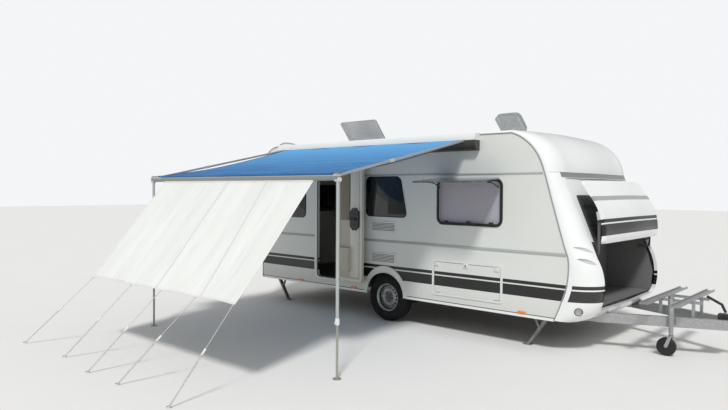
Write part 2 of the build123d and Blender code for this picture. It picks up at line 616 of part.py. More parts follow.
# Closed acrylic windows in the side walls, the rear wall and the front wall
with BuildPart() as windows:
    for side, group in ((1, (MIDDLE_WINDOW, REAR_WINDOW)), (-1, LEFT_WINDOWS)):
        for window in group:
            with BuildSketch(Plane.XZ.offset(side * (HALF_WIDTH - 12))):
                add(window_outline(*window, grow=-2, radius=70))
            extrude(amount=side * 12)
            with BuildSketch(Plane.XZ.offset(side * HALF_WIDTH)):
                add(window_outline(*window, grow=18, radius=70))
            extrude(amount=side * 14)
    with BuildSketch(Plane.YZ.offset(REAR_X - 12)):
        with Locations((0, 1650)):
            RectangleRounded(1140, 520, 70)
    extrude(amount=18)
    pane_low, pane_top = FRONT_WINDOW_LOW_Z - 16, FRONT_WINDOW_TOP_Z + 16
    add(slanted_panel(FRONT_WINDOW_HALF + 18, pane_low, pane_top, RECESS - 18, 18))
keep(windows.part, "windows")

# White plastic trims: door frame, hatch frame, fridge vents, wheel arch mouldings
with BuildPart() as side_trims:
    with BuildSketch(Plane.XZ.offset(HALF_WIDTH)):
        with Locations(((DOOR_REAR_X + DOOR_FRONT_X) / 2, (DOOR_LOW_Z + DOOR_TOP_Z) / 2)):
            RectangleRounded(DOOR_FRONT_X - DOOR_REAR_X + 130, DOOR_TOP_Z - DOOR_LOW_Z + 60, 80)
            RectangleRounded(DOOR_FRONT_X - DOOR_REAR_X, DOOR_TOP_Z - DOOR_LOW_Z, 60, mode=Mode.SUBTRACT)
        with Locations(((HATCH[0] + HATCH[1]) / 2, (HATCH[2] + HATCH[3]) / 2)):
            RectangleRounded(HATCH[1] - HATCH[0], HATCH[3] - HATCH[2], 30)
            RectangleRounded(HATCH[1] - HATCH[0] - 56, HATCH[3] - HATCH[2] - 56, 20, mode=Mode.SUBTRACT)
    extrude(amount=10)
    # upper half of each door hinge, with the pin that the leaf's barrel turns on
    for hz in DOOR_HINGE_ZS:
        with Locations((DOOR_HINGE_X + 13, (DOOR_HINGE_Y - HALF_WIDTH) / 2, hz + 18)):
            Box(18, -HALF_WIDTH - DOOR_HINGE_Y, 34)
        with BuildSketch(Plane.XY.offset(hz + 1)):
            with Locations((DOOR_HINGE_X, DOOR_HINGE_Y)):
                Circle(9)
        extrude(amount=34)
        with BuildSketch(Plane.XY.offset(hz - 33)):
            with Locations((DOOR_HINGE_X, DOOR_HINGE_Y)):
                Circle(HINGE_PIN_R)
        extrude(amount=36)
    for rear_v, front_v, low_v, top_v in VENTS:
        with BuildSketch(Plane.XZ.offset(HALF_WIDTH)):
            with Locations(((rear_v + front_v) / 2, (low_v + top_v) / 2)):
                RectangleRounded(front_v - rear_v, top_v - low_v, 12)
        extrude(amount=12)
        slat_count = 6
        pitch = (top_v - low_v - 30) / slat_count
        with BuildSketch(Plane.XZ.offset(HALF_WIDTH + 12)):
            with Locations(((rear_v + front_v) / 2, (low_v + top_v) / 2)):
                with GridLocations(0, pitch, 1, slat_count):
                    Rectangle(front_v - rear_v - 40, pitch * 0.45)
        extrude(amount=-8, mode=Mode.SUBTRACT)
    for side in (-1, 1):
        with BuildSketch(Plane.XZ.offset(side * HALF_WIDTH)):
            with Locations((0, ARCH_BASE_Z)):
                Ellipse(ARCH_HALF, ARCH_HIGH)
                Ellipse(ARCH_OPEN_HALF, ARCH_OPEN_HIGH, mode=Mode.SUBTRACT)
            with Locations((0, SILL_Z - 300)):
                Rectangle(900, 600, mode=Mode.SUBTRACT)
        extrude(amount=side * 16)
keep(side_trims.part, "side_trims")

# Sill profiles: aluminium along the foot of the side walls, either side of the wheel
SILL_HIGH = 30
with BuildPart() as sills:
    for side in (-1, 1):
        with BuildSketch(Plane.XZ.offset(side * HALF_WIDTH)):
            for x0, x1 in ((REAR_X + 60, -ARCH_HALF - 1), (ARCH_HALF + 1, 2440)):
                with BuildLine():
                    Polyline((x0, SILL_Z - 6), (x1, SILL_Z - 6), (x1, SILL_Z - 6 + SILL_HIGH),
                             (x0, SILL_Z - 6 + SILL_HIGH), close=True)
                make_face()
        extrude(amount=side * 6)
keep(sills.part, "sills")

# Service hatch: a flap that drops about the rod along its lower edge
HATCH_HINGE = (1159, 502)
with BuildPart() as service_hatch:
    with BuildSketch(Plane.XZ.offset(HALF_WIDTH - 18)):
        with Locations(((HATCH[0] + HATCH[1]) / 2, (HATCH[2] + HATCH[3]) / 2)):
            RectangleRounded(HATCH[1] - HATCH[0] - 68, HATCH[3] - HATCH[2] - 68, 14)
    extrude(amount=26)
    with BuildSketch(Plane.YZ.offset(HATCH[0] + 120)):
        with Locations((-HATCH_HINGE[0], HATCH_HINGE[1])):
            Circle(3.5)
    extrude(amount=HATCH[1] - HATCH[0] - 240)
keep(service_hatch.part, "service_hatch")

# Entrance door: foamed leaf with its window opening, bin and grip, turned open on its hinge
leaf_low, leaf_top = DOOR_LOW_Z + DOOR_GAP, DOOR_TOP_Z - DOOR_GAP
leaf_rear, leaf_front = DOOR_REAR_X + DOOR_GAP, DOOR_FRONT_X - DOOR_GAP
leaf_middle = ((leaf_rear + leaf_front) / 2, (leaf_low + leaf_top) / 2)
door_hinge = Axis((DOOR_HINGE_X, DOOR_HINGE_Y, 0), (0, 0, 1))
DOOR_WINDOW = (leaf_middle[0], 1830, 330, 520)
with BuildPart() as door_leaf:
    with BuildSketch(Plane.XZ.offset(HALF_WIDTH + 4)):
        with Locations(leaf_middle):
            RectangleRounded(leaf_front - leaf_rear, leaf_top - leaf_low, 55)
        with Locations((DOOR_WINDOW[0], DOOR_WINDOW[1])):
            RectangleRounded(DOOR_WINDOW[2], DOOR_WINDOW[3], 50, mode=Mode.SUBTRACT)
    extrude(amount=-DOOR_THICK)
    with Locations((leaf_front - 155, -HALF_WIDTH + 30 + 30, 810)):
        Box(230, 60, 340)
    # lower half of each hinge: a plate out to the barrel, bored for the pin
    for hz in DOOR_HINGE_ZS:
        with Locations((DOOR_HINGE_X - 12, DOOR_HINGE_Y + 13, hz - 18)):
            Box(24, 26, 34)
        with BuildSketch(Plane.XY.offset(hz - 35)):
            with Locations((DOOR_HINGE_X, DOOR_HINGE_Y)):
                Circle(9)
        extrude(amount=34)
        with BuildSketch(Plane.XY.offset(hz - 35)):
            with Locations((DOOR_HINGE_X, DOOR_HINGE_Y)):
                Circle(HINGE_PIN_R + 0.5)
        extrude(amount=34, mode=Mode.SUBTRACT)
keep(door_leaf.part.rotate(door_hinge, DOOR_OPEN), "door_leaf")

with BuildPart() as door_window:
    with BuildSketch(Plane.XZ.offset(HALF_WIDTH)):
        with Locations((DOOR_WINDOW[0], DOOR_WINDOW[1])):
            RectangleRounded(DOOR_WINDOW[2] - 1, DOOR_WINDOW[3] - 1, 50)
    extrude(amount=-24)
keep(door_window.part.rotate(door_hinge, DOOR_OPEN), "door_window")

# Lock plates: a tall one with cut corners inside and a small one outside
LOCK_X, LOCK_Z = leaf_rear + 142, 1390
with BuildPart() as door_fittings:
    with BuildSketch(Plane.XZ.offset(HALF_WIDTH - 30)) as inner_plate:
        with Locations((LOCK_X, LOCK_Z)):
            Rectangle(176, 310)
        chamfer(inner_plate.vertices(), 52)
    extrude(amount=-30)
    with Locations((LOCK_X, -HALF_WIDTH - 4 - 10, LOCK_Z)):
        Box(90, 20, 180)
keep(door_fittings.part.rotate(door_hinge, DOOR_OPEN), "door_fittings")

# Awning case along the wall top
with BuildPart() as awning_case:
    with BuildSketch(Plane.YZ.offset(CASE_REAR_X)):
        with BuildLine():
            y0 = -HALF_WIDTH - 2
            Polyline((y0, 2285), (y0, 2496), (y0 - 85, 2490))
            ThreePointArc((y0 - 85, 2490), (y0 - 122, 2400), (y0 - 78, 2300))
            Polyline((y0 - 78, 2300), (y0 - 30, 2285), (y0, 2285))
        make_face()
    extrude(amount=CASE_FRONT_X - CASE_REAR_X)
keep(awning_case.part, "awning_case")

# Lead rail with the upper post tubes hanging from it
POST_R, FOOT_R, POST_BORE = 16, 12.5, 1330
with BuildPart() as awning_rail:
    with BuildSketch(Plane.YZ.offset(RAIL_REAR_X)):
        with BuildLine():
            Polyline((RAIL_Y + 28, RAIL_Z - 34), (RAIL_Y + 28, RAIL_Z + 34), (RAIL_Y - 12, RAIL_Z + 38))
            ThreePointArc((RAIL_Y - 12, RAIL_Z + 38), (RAIL_Y - 30, RAIL_Z), (RAIL_Y - 12, RAIL_Z - 38))
            Line((RAIL_Y - 12, RAIL_Z - 38), (RAIL_Y + 28, RAIL_Z - 34))
        make_face()
    extrude(amount=RAIL_FRONT_X - RAIL_REAR_X)
    for px in (POST_REAR_X, POST_FRONT_X):
        with BuildSketch(Plane.XY.offset(COLLAR_Z)):
            with Locations((px, RAIL_Y)):
                Circle(POST_R)
        extrude(amount=RAIL_Z - COLLAR_Z)
        with BuildSketch(Plane.XY.offset(COLLAR_Z)):
            with Locations((px, RAIL_Y)):
                Circle(POST_R + 6)
        extrude(amount=60)
        with BuildSketch(Plane.XY.offset(COLLAR_Z)):
            with Locations((px, RAIL_Y)):
                Circle(FOOT_R + 1)
        extrude(amount=POST_BORE, mode=Mode.SUBTRACT)
keep(awning_rail.part, "awning_rail")

# Sliding post feet
for which, px in (("front", POST_FRONT_X), ("rear", POST_REAR_X)):
    with BuildPart() as post_foot:
        with BuildSketch(Plane.XY):
            with Locations((px, RAIL_Y)):
                Circle(42)
        extrude(amount=8)
        with BuildSketch(Plane.XY.offset(8)):
            with Locations((px, RAIL_Y)):
                Circle(FOOT_R)
        extrude(amount=COLLAR_Z + 560)
    keep(post_foot.part, f"post_foot_{which}")

# Arms beside the canopy, from the case to the ends of the rail, each with a thicker joint
with BuildPart() as awning_arms:
    for arm_x in (CANOPY_FRONT_X + 25, CANOPY_REAR_X - 25):
        start = Vector(arm_x, -HALF_WIDTH - 130, 2400)
        end = Vector(arm_x, RAIL_Y + 33, RAIL_Z + 16)
        for place, long, wide, high in ((0, 1, 22, 26), (0.62, 0.03, 30, 34)):
            with BuildSketch(Plane(origin=start + (end - start) * place, x_dir=(1, 0, 0), z_dir=end - start)):
                RectangleRounded(wide, high, 7)
            extrude(amount=(end - start).length * long)
keep(awning_arms.part, "awning_arms")

# Canopy: one cloth from the case to the rail, a plain sheet here
with BuildPart() as canopy:
    with BuildSketch(Plane.YZ.offset(CANOPY_REAR_X)):
        with BuildLine():
            wall_y, wall_z, rail_y, rail_z = -HALF_WIDTH - 128, 2408, RAIL_Y + 29, RAIL_Z + 34
            mid_y, mid_z = (wall_y + rail_y) / 2, (wall_z + rail_z) / 2 - 28
            ThreePointArc((wall_y, wall_z), (mid_y, mid_z), (rail_y, rail_z))
            Line((rail_y, rail_z), (rail_y, rail_z - 5))
            ThreePointArc((rail_y, rail_z - 5), (mid_y, mid_z - 5), (wall_y, wall_z - 5))
            Line((wall_y, wall_z - 5), (wall_y, wall_z))
        make_face()
    extrude(amount=CANOPY_FRONT_X - CANOPY_REAR_X)
keep(canopy.part, "canopy")

# Sun panel: the white sheet hung from the rail and drawn out by the guy lines
with BuildPart() as sun_panel:
    with BuildSketch(Plane.YZ.offset(PANEL_REAR_X)):
        with BuildLine():
            Polyline((RAIL_Y - 18, PANEL_TOP_Z - 6), (RAIL_Y - 14, PANEL_TOP_Z - 6),
                     (PANEL_FOOT_Y + 4, PANEL_FOOT_Z), (PANEL_FOOT_Y, PANEL_FOOT_Z), close=True)
        make_face()
    extrude(amount=PANEL_FRONT_X - PANEL_REAR_X)
keep(sun_panel.part, "sun_panel")

# Guy lines, each drawn tight from an eyelet of the panel to the head of its peg
GUY_R = 3
with BuildPart() as guy_lines:
    for top_x, peg_x, peg_y in GUYS:
        start = Vector(top_x, PANEL_FOOT_Y - 4, PANEL_FOOT_Z + 2)
        end = Vector(peg_x, peg_y, 14)
        with BuildSketch(Plane(origin=start, z_dir=end - start)):
            Circle(GUY_R)
        extrude(amount=(end - start).length)
        with Locations((peg_x, peg_y, 10)):
            Box(24, 60, 20)
keep(guy_lines.part, "guy_lines")

# Chassis: side members, cross members and the two drawbar beams that run in to the coupling
with BuildPart() as chassis:
    for side in (-1, 1):
        path = ((REAR_X + 120, side * RAIL_HALF), (DRAWBAR_BEND_X, side * RAIL_HALF),
                (DRAWBAR_TIP_X, side * DRAWBAR_TIP_HALF))
        with BuildSketch(Plane.XY.offset(FLOOR_LOW_Z)):
            with BuildLine():
                Polyline(*path)
            trace(line_width=RAIL_WIDE)
        extrude(amount=-RAIL_DEEP)
    for cx in (-2380, -1300, 1200, 2300):
        with Locations((cx, 0, FLOOR_LOW_Z - 50)):
            Box(50, 2 * RAIL_HALF, 100)
    with Locations((3860, 0, FLOOR_LOW_Z - 70)):
        Box(160, 180, 80)
    # outriggers that carry the steadies
    for cx in (-2380, 2200):
        with Locations((cx, 0, FLOOR_LOW_Z - 14)):
            Box(60, 2080, 28)
keep(chassis.part, "chassis")

# Axle: the tube across, and the swing arms that carry the wheels
AXLE_X, AXLE_TUBE_Z = 165, 258
with BuildPart() as axle:
    with BuildSketch(Plane.XZ.offset(880)):
        with Locations((AXLE_X, AXLE_TUBE_Z)):
            RegularPolygon(48, 6)
    extrude(amount=-1760)
    for side in (-1, 1):
        with BuildSketch(Plane.XZ.offset(side * 860)):
            with BuildLine():
                Polyline((AXLE_X, AXLE_TUBE_Z), (0, AXLE_Z))
            trace(line_width=70)
            with Locations((0, AXLE_Z)):
                Circle(50)
        extrude(amount=side * 40)
        with BuildSketch(Plane.XZ.offset(side * 900)):
            with Locations((0, AXLE_Z)):
                Circle(28)
        extrude(amount=side * 90)
    for side in (-1, 1):
        with Locations((AXLE_X, side * (RAIL_HALF + RAIL_WIDE / 2 + 4), 345)):
            Box(180, 8, 140)
keep(axle.part, "axle")

# Wheels: tyre and pressed steel rim, each side
for which, side in (("right", -1), ("left", 1)):
    middle = side * WHEEL_Y
    spin = Axis((0, 0, AXLE_Z), (0, 1, 0))
    with BuildPart() as tyre:
        with BuildSketch(Plane.YZ) as tyre_section:
            with BuildLine():
                half = TYRE_WIDTH / 2
                Line((middle - half + 25, AXLE_Z + BEAD_R), (middle + half - 25, AXLE_Z + BEAD_R))
                ThreePointArc((middle + half - 25, AXLE_Z + BEAD_R), (middle + half, AXLE_Z + 252),
                              (middle + half - 18, AXLE_Z + WHEEL_R - 8))
                ThreePointArc((middle + half - 18, AXLE_Z + WHEEL_R - 8), (middle, AXLE_Z + WHEEL_R),
                              (middle - half + 18, AXLE_Z + WHEEL_R - 8))
                ThreePointArc((middle - half + 18, AXLE_Z + WHEEL_R - 8), (middle - half, AXLE_Z + 252),
                              (middle - half + 25, AXLE_Z + BEAD_R))
            make_face()
        revolve(axis=spin)
    keep(tyre.part, f"tyre_{which}")
    with BuildPart() as rim:
        with BuildSketch(Plane.YZ):
            with BuildLine():
                out = middle + side * (half - 22)
                inn = middle - side * (half - 22)
                Polyline((inn, AXLE_Z + BEAD_R), (inn, AXLE_Z + 168), (middle - side * 20, AXLE_Z + 150),
                         (middle + side * 6, AXLE_Z + 150), (middle + side * 22, AXLE_Z + 125),
                         (middle + side * 30, AXLE_Z + 75), (middle + side * 14, AXLE_Z + 60),
                         (middle + side * 14, AXLE_Z + 29), (middle + side * 26, AXLE_Z + 29),
                         (middle + side * 26, AXLE_Z + 62), (middle + side * 42, AXLE_Z + 78),
                         (middle + side * 34, AXLE_Z + 130), (middle + side * 24, AXLE_Z + 158),
                         (out, AXLE_Z + 168), (out, AXLE_Z + BEAD_R), close=True)
            make_face()
        revolve(axis=spin)
        with BuildSketch(Plane.XZ.offset(-middle)):
            with Locations((0, AXLE_Z)):
                with PolarLocations(106, 16):
                    Circle(10)
        extrude(amount=120, both=True, mode=Mode.SUBTRACT)
    keep(rim.part, f"rim_{which}")

# Coupling: overrun tube, housing, ball head with its socket, and the handbrake lever
with BuildPart() as coupling:
    with Locations((3915, 0, 431)):
        Box(210, 98, 80)
    with BuildSketch(Plane.YZ.offset(4020)):
        with Locations((0, BALL_Z + 8)):
            Circle(28)
    extrude(amount=90)
    with BuildSketch(Plane.YZ.offset(4090)):
        with Locations((0, BALL_Z + 8)):
            RectangleRounded(70, 64, 15)
    extrude(amount=62)
    with BuildSketch(Plane.XY.offset(BALL_Z - 25)):
        with Locations((BALL_X, 0)):
            Circle(38)
    extrude(amount=65)
    with BuildSketch(Plane.XY.offset(BALL_Z - 26)):
        with Locations((BALL_X, 0)):
            Circle(BALL_R)
    extrude(amount=26, mode=Mode.SUBTRACT)
    with Locations((BALL_X, 0, BALL_Z)):
        Sphere(BALL_R, mode=Mode.SUBTRACT)
keep(coupling.part, "coupling")

# Handbrake lever on the housing
with BuildPart() as handbrake_lever:
    with BuildSketch(Plane.XZ.offset(8)):
        with BuildLine():
            Polyline((3880, 485), (3840, 570), (3690, 645))
        trace(line_width=26)
    extrude(amount=-16)
keep(handbrake_lever.part, "handbrake_lever")


def beam_face(x):
    """Distance from the centre line to the outer face of a drawbar beam at x."""
    slope = (RAIL_HALF - DRAWBAR_TIP_HALF) / (DRAWBAR_TIP_X - DRAWBAR_BEND_X)
    return DRAWBAR_TIP_HALF + slope * (DRAWBAR_TIP_X - x) + RAIL_WIDE / 2 * sqrt(1 + slope**2)


# Jockey wheel: clamped outer tube, sliding inner leg, castor fork and wheel
JOCKEY_TOP_Z, JOCKEY_TUBE_LOW_Z, JOCKEY_AXLE_Z = 640, 330, JOCKEY_WHEEL_R
with BuildPart() as jockey_tube:
    with BuildSketch(Plane.XY.offset(JOCKEY_TUBE_LOW_Z)):
        with Locations((JOCKEY_X, JOCKEY_Y)):
            Circle(30)
    extrude(amount=JOCKEY_TOP_Z - JOCKEY_TUBE_LOW_Z)
    with BuildSketch(Plane.XY.offset(345)):
        with BuildLine():
            ends = [(x, -beam_face(x) - 0.5) for x in (JOCKEY_X - 30, JOCKEY_X + 30)]
            Polyline(*ends, (JOCKEY_X + 30, JOCKEY_Y), (JOCKEY_X - 30, JOCKEY_Y), close=True)
        make_face()
    extrude(amount=60)
    with BuildSketch(Plane.XY.offset(JOCKEY_TUBE_LOW_Z)):
        with Locations((JOCKEY_X, JOCKEY_Y)):
            Circle(27)
    extrude(amount=JOCKEY_TOP_Z - JOCKEY_TUBE_LOW_Z, mode=Mode.SUBTRACT)
keep(jockey_tube.part, "jockey_tube")

with BuildPart() as jockey_leg:
    with BuildSketch(Plane.XY.offset(235)):
        with Locations((JOCKEY_X, JOCKEY_Y)):
            Circle(24)
    extrude(amount=JOCKEY_TOP_Z + 30 - 235)
    with Locations((JOCKEY_X, JOCKEY_Y, JOCKEY_TOP_Z + 38)):
        Box(20, 150, 16)
keep(jockey_leg.part, "jockey_leg")

with BuildPart() as jockey_fork:
    with BuildSketch(Plane.XY.offset(216)):
        with Locations((JOCKEY_X, JOCKEY_Y)):
            Circle(26)
    extrude(amount=14)
    for side in (-1, 1):
        with BuildSketch(Plane.XZ.offset(-JOCKEY_Y + side * 36)):
            with BuildLine():
                Polyline((JOCKEY_X, 220), (JOCKEY_X - JOCKEY_TRAIL, JOCKEY_AXLE_Z))
            trace(line_width=36)
        extrude(amount=2.5, both=True)
    with Locations((JOCKEY_X, JOCKEY_Y, 218)):
        Box(40, 76, 10)
    with BuildSketch(Plane.XZ.offset(-JOCKEY_Y + 40)):
        with Locations((JOCKEY_X - JOCKEY_TRAIL, JOCKEY_AXLE_Z)):
            Circle(8)
    extrude(amount=-80)
keep(jockey_fork.part, "jockey_fork")

with BuildPart() as jockey_wheel:
    with BuildSketch(Plane.XZ.offset(-JOCKEY_Y + 27)):
        with Locations((JOCKEY_X - JOCKEY_TRAIL, JOCKEY_AXLE_Z)):
            Circle(JOCKEY_WHEEL_R)
            Circle(8.06, mode=Mode.SUBTRACT)
    extrude(amount=-54)
    fillet(jockey_wheel.edges().filter_by(GeomType.CIRCLE).group_by(SortBy.RADIUS)[-1], 10)
keep(jockey_wheel.part, "jockey_wheel")

# Corner steadies: mounts with their spindles, channel legs and braces
foot_angle = degrees(atan2(STEADY_PIVOT_Z - 6, sqrt(STEADY_LENGTH**2 - (STEADY_PIVOT_Z - 6) ** 2)))
PIN_R, PIN_HOLE_R = 7, 7.6
SPINDLE_END = 330          # reach of the spindle from the pivot, to its end block
with BuildPart() as steady_mounts:
    for px, py, way in STEADIES.values():
        for side in (-1, 1):
            with BuildSketch(Plane.XZ.offset(-py + side * 35)):
                with Locations((px - way * 10, STEADY_PIVOT_Z + 22)):
                    Rectangle(60, 70)
                with Locations((px, STEADY_PIVOT_Z)):
                    Circle(PIN_HOLE_R, mode=Mode.SUBTRACT)
            extrude(amount=3, both=True)
        with Locations((px + way * 155, py, 392 - 3)):
            Box(390, 76, 6)
        with BuildSketch(Plane.YZ.offset(px + way * 60)):
            with Locations((py, SPINDLE_Z)):
                Circle(7)
        extrude(amount=way * (SPINDLE_END - 60))
        for block_x, block_wide in ((56, 44), (SPINDLE_END + 10, 34)):
            with Locations((px + way * block_x, py, 365)):
                Box(20, block_wide, 54)
keep(steady_mounts.part, "steady_mounts")

for which, (px, py, way) in STEADIES.items():
    pivot_axis = Axis((px, py, STEADY_PIVOT_Z), (0, 1, 0))
    with BuildPart() as leg:
        with BuildSketch(Plane.XZ.offset(-py)):
            with BuildLine():
                Polyline((px - way * 14, STEADY_PIVOT_Z - 20), (px - way * 14, STEADY_PIVOT_Z + 12),
                         (px + way * 40, STEADY_PIVOT_Z + 12), (px + way * STEADY_LENGTH, STEADY_PIVOT_Z + 6),
                         (px + way * STEADY_LENGTH, STEADY_PIVOT_Z - 20), close=True)
            make_face()
        extrude(amount=26, both=True)
        with Locations((px + way * (STEADY_LENGTH / 2 - 30), py, STEADY_PIVOT_Z + 3)):
            Box(STEADY_LENGTH + 20, 46, 40, mode=Mode.SUBTRACT)
        for pin_x, pin_reach, pin_r in ((0, 40, PIN_R), (STEADY_MID, 24, 5)):
            with BuildSketch(Plane.XZ.offset(-py + pin_reach)):
                with Locations((px + way * pin_x, STEADY_PIVOT_Z)):
                    Circle(pin_r)
            extrude(amount=-2 * pin_reach)
    turned = leg.part.rotate(pivot_axis, way * foot_angle)
    foot_x = px + way * STEADY_LENGTH * cos(radians(foot_angle))
    with BuildPart() as lowered:
        add(turned)
        with Locations((foot_x, py, -20)):
            Box(200, 120, 40, mode=Mode.SUBTRACT)
        with BuildSketch(Plane.XY):
            with Locations((foot_x, py)):
                RectangleRounded(110, 90, 12)
        extrude(amount=8)
        with BuildSketch(Plane.XY.offset(8)):
            with Locations((foot_x, py)):
                Rectangle(40, 50)
        extrude(amount=14)
    keep(lowered.part, f"steady_leg_{which}")

    mid = (px + way * STEADY_MID * cos(radians(foot_angle)),
           STEADY_PIVOT_Z - STEADY_MID * sin(radians(foot_angle)))
    end = (mid[0] + way * sqrt(BRACE_LENGTH**2 - (SPINDLE_Z - mid[1]) ** 2), SPINDLE_Z)
    with BuildPart() as brace:
        for side in (-1, 1):
            with BuildSketch(Plane.XZ.offset(-py + side * 14)):
                with BuildLine():
                    Line(mid, end)
                trace(line_width=22)
                with Locations(mid, end):
                    Circle(11)
                with Locations(mid):
                    Circle(5.5, mode=Mode.SUBTRACT)
            extrude(amount=2, both=True)
        # a tie between the two straps, nearer to the leg so that it clears the spindle when folded
        with Locations((mid[0] + 0.3 * (end[0] - mid[0]), py, mid[1] + 0.3 * (end[1] - mid[1]))):
            Box(8, 26, 8)
    keep(brace.part, f"steady_brace_{which}")

# Cycle carrier on the drawbar: two bearers on short posts, and two gutters across
with BuildPart() as cycle_carrier:
    for side in (-1, 1):
        with Locations((3430, side * 170, 585)):
            Box(500, 30, 30)
        with Locations((3260, side * 170, 495), (3600, side * 170, 495)):
            Box(30, 30, 150)
    with Locations((3260, 0, 612), (3560, 0, 612)):
        Box(90, 1500, 24)
    with Locations((3260, 0, 618), (3560, 0, 618)):
        Box(70, 1510, 20, mode=Mode.SUBTRACT)
keep(cycle_carrier.part, "cycle_carrier")
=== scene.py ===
# Travel caravan, parked with its side awning out. Places are in metres in the caravan's own axes:
# x forward from the axle, y to the left of the centre line, z up from the ground.

import math

import bmesh
import bpy
from mathutils import Matrix, Vector
from mathutils.bvhtree import BVHTree


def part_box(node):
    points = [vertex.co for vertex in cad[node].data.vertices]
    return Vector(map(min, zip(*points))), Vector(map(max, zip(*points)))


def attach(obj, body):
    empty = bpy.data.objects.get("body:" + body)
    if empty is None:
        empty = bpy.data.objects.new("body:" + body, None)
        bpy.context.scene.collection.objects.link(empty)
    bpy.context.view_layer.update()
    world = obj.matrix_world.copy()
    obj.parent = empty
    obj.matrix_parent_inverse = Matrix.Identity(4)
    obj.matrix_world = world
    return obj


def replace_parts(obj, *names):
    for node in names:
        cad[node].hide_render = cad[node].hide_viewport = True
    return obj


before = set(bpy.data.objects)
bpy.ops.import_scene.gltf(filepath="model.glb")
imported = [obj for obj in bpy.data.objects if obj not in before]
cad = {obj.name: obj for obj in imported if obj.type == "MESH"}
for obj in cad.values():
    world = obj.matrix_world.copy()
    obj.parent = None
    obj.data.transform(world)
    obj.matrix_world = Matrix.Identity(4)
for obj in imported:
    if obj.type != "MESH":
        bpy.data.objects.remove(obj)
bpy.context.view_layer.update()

# Viewpoint and setting
# A standing eye ahead of the front corner on the door side, looking back along the wall.
# The caravan stands on a plain pale floor in soft light that falls from the front on the door side.
right_low, right_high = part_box("tyre_right")
left_low, left_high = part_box("tyre_left")
AXLE_X = (right_low.x + right_high.x) / 2
CENTRE_Y = (right_low.y + left_high.y) / 2


def spot(x, y, z):
    """A place in the caravan's own axes, in the frame that all pieces share."""
    return Vector((AXLE_X + x, CENTRE_Y + y, z))


link = bpy.context.scene.collection.objects.link
EYE = spot(5.437, -7.644, 1.803)
EYE_TURN, EYE_DOWN, EYE_LEAN = math.radians(41.946), math.radians(1.412), math.radians(0.347)
camera = bpy.data.objects.new("camera", bpy.data.cameras.new("camera"))
camera.data.sensor_width, camera.data.lens, camera.data.clip_end = 36, 30.66, 200
camera.matrix_world = (
    Matrix.Translation(EYE)
    @ Matrix.Rotation(EYE_TURN, 4, "Z")
    @ Matrix.Rotation(math.radians(90) - EYE_DOWN, 4, "X")
    @ Matrix.Rotation(EYE_LEAN, 4, "Z")
)
link(camera)
bpy.context.scene.camera = camera
bpy.context.scene.view_settings.view_transform = "Standard"


def wire(material, kind, inputs=None, out=0, **settings):
    """Add a shader node. Inputs are values or other nodes' outputs. Returns one of its outputs."""
    node = material.node_tree.nodes.new("ShaderNode" + kind)
    for name, value in settings.items():
        setattr(node, name, value)
    for key, value in (inputs or {}).items():
        if isinstance(value, bpy.types.NodeSocket):
            material.node_tree.links.new(value, node.inputs[key])
        else:
            node.inputs[key].default_value = value
    return node.outputs[out]


def calc(material, operation, *values):
    """The result of one step of arithmetic on values or outputs."""
    return wire(material, "Math", dict(enumerate(values)), operation=operation)


def finish(name, colour, roughness, **sockets):
    """A material with its main shader set. Underscores in socket names stand for spaces."""
    material = bpy.data.materials.new(name)
    material.use_nodes = True
    shader = material.node_tree.nodes["Principled BSDF"]
    sockets.update(Base_Color=(*colour, 1), Roughness=roughness)
    for key, value in sockets.items():
        shader.inputs[key.replace("_", " ")].default_value = value
    return material


def drive(material, **sockets):
    """Link pattern outputs to the main shader's sockets."""
    shader = material.node_tree.nodes["Principled BSDF"]
    for key, value in sockets.items():
        material.node_tree.links.new(value, shader.inputs[key.replace("_", " ")])


def grain(material, scale, stretch=(1, 1, 1), detail=3.0):
    """Noise in the piece's own coordinates, from 0 to 1."""
    point = wire(material, "TexCoord", out="Object")
    point = wire(material, "Mapping", {"Vector": point, "Scale": stretch})
    return wire(material, "TexNoise", {"Vector": point, "Scale": scale, "Detail": detail})


def spread(material, value, low, high, to_low=0.0, to_high=1.0):
    """Stretch part of a value's range to a new range, clamped at both ends."""
    steps = {"Value": value, "From Min": low, "From Max": high, "To Min": to_low, "To Max": to_high}
    return wire(material, "MapRange", steps)


def blend(material, share, low, high):
    """Mix two colours, each a colour or an output, by a share from 0 to 1."""
    low, high = ((*c, 1) if isinstance(c, tuple) else c for c in (low, high))
    return wire(material, "Mix", {0: share, 6: low, 7: high}, out=2, data_type="RGBA")


def relief(material, height, depth, strength=0.6):
    """Bump from a height, in metres."""
    return wire(material, "Bump", {"Height": height, "Distance": depth, "Strength": strength})


def mottled(name, low, high, roughness, scale, levels=(0, 1), stretch=(1, 1, 1), detail=3.0, **sockets):
    """A finish whose colour drifts between two shades, as noise goes from one level to another."""
    material = finish(name, low, roughness, **sockets)
    share = spread(material, grain(material, scale, stretch, detail), *levels)
    drive(material, Base_Color=blend(material, share, low, high))
    return material


floor_finish = mottled("pale_floor", (0.80, 0.79, 0.77), (0.77, 0.76, 0.74), 0.9, 1.5,
                       Specular_IOR_Level=0.1)
bm = bmesh.new()
bmesh.ops.create_grid(bm, x_segments=1, y_segments=1, size=60)
floor_mesh = bpy.data.meshes.new("ground")
bm.to_mesh(floor_mesh)
bm.free()
floor_mesh.materials.append(floor_finish)
ground = bpy.data.objects.new("ground", floor_mesh)
link(ground)

LIGHT_FROM = Vector((0.72, -1.0, 1.5))
sun = bpy.data.objects.new("key_lamp", bpy.data.lights.new("key_lamp", "SUN"))
sun.data.energy, sun.data.angle = 2.3, math.radians(9)
sun.rotation_euler = LIGHT_FROM.to_track_quat("Z", "Y").to_euler()
link(sun)

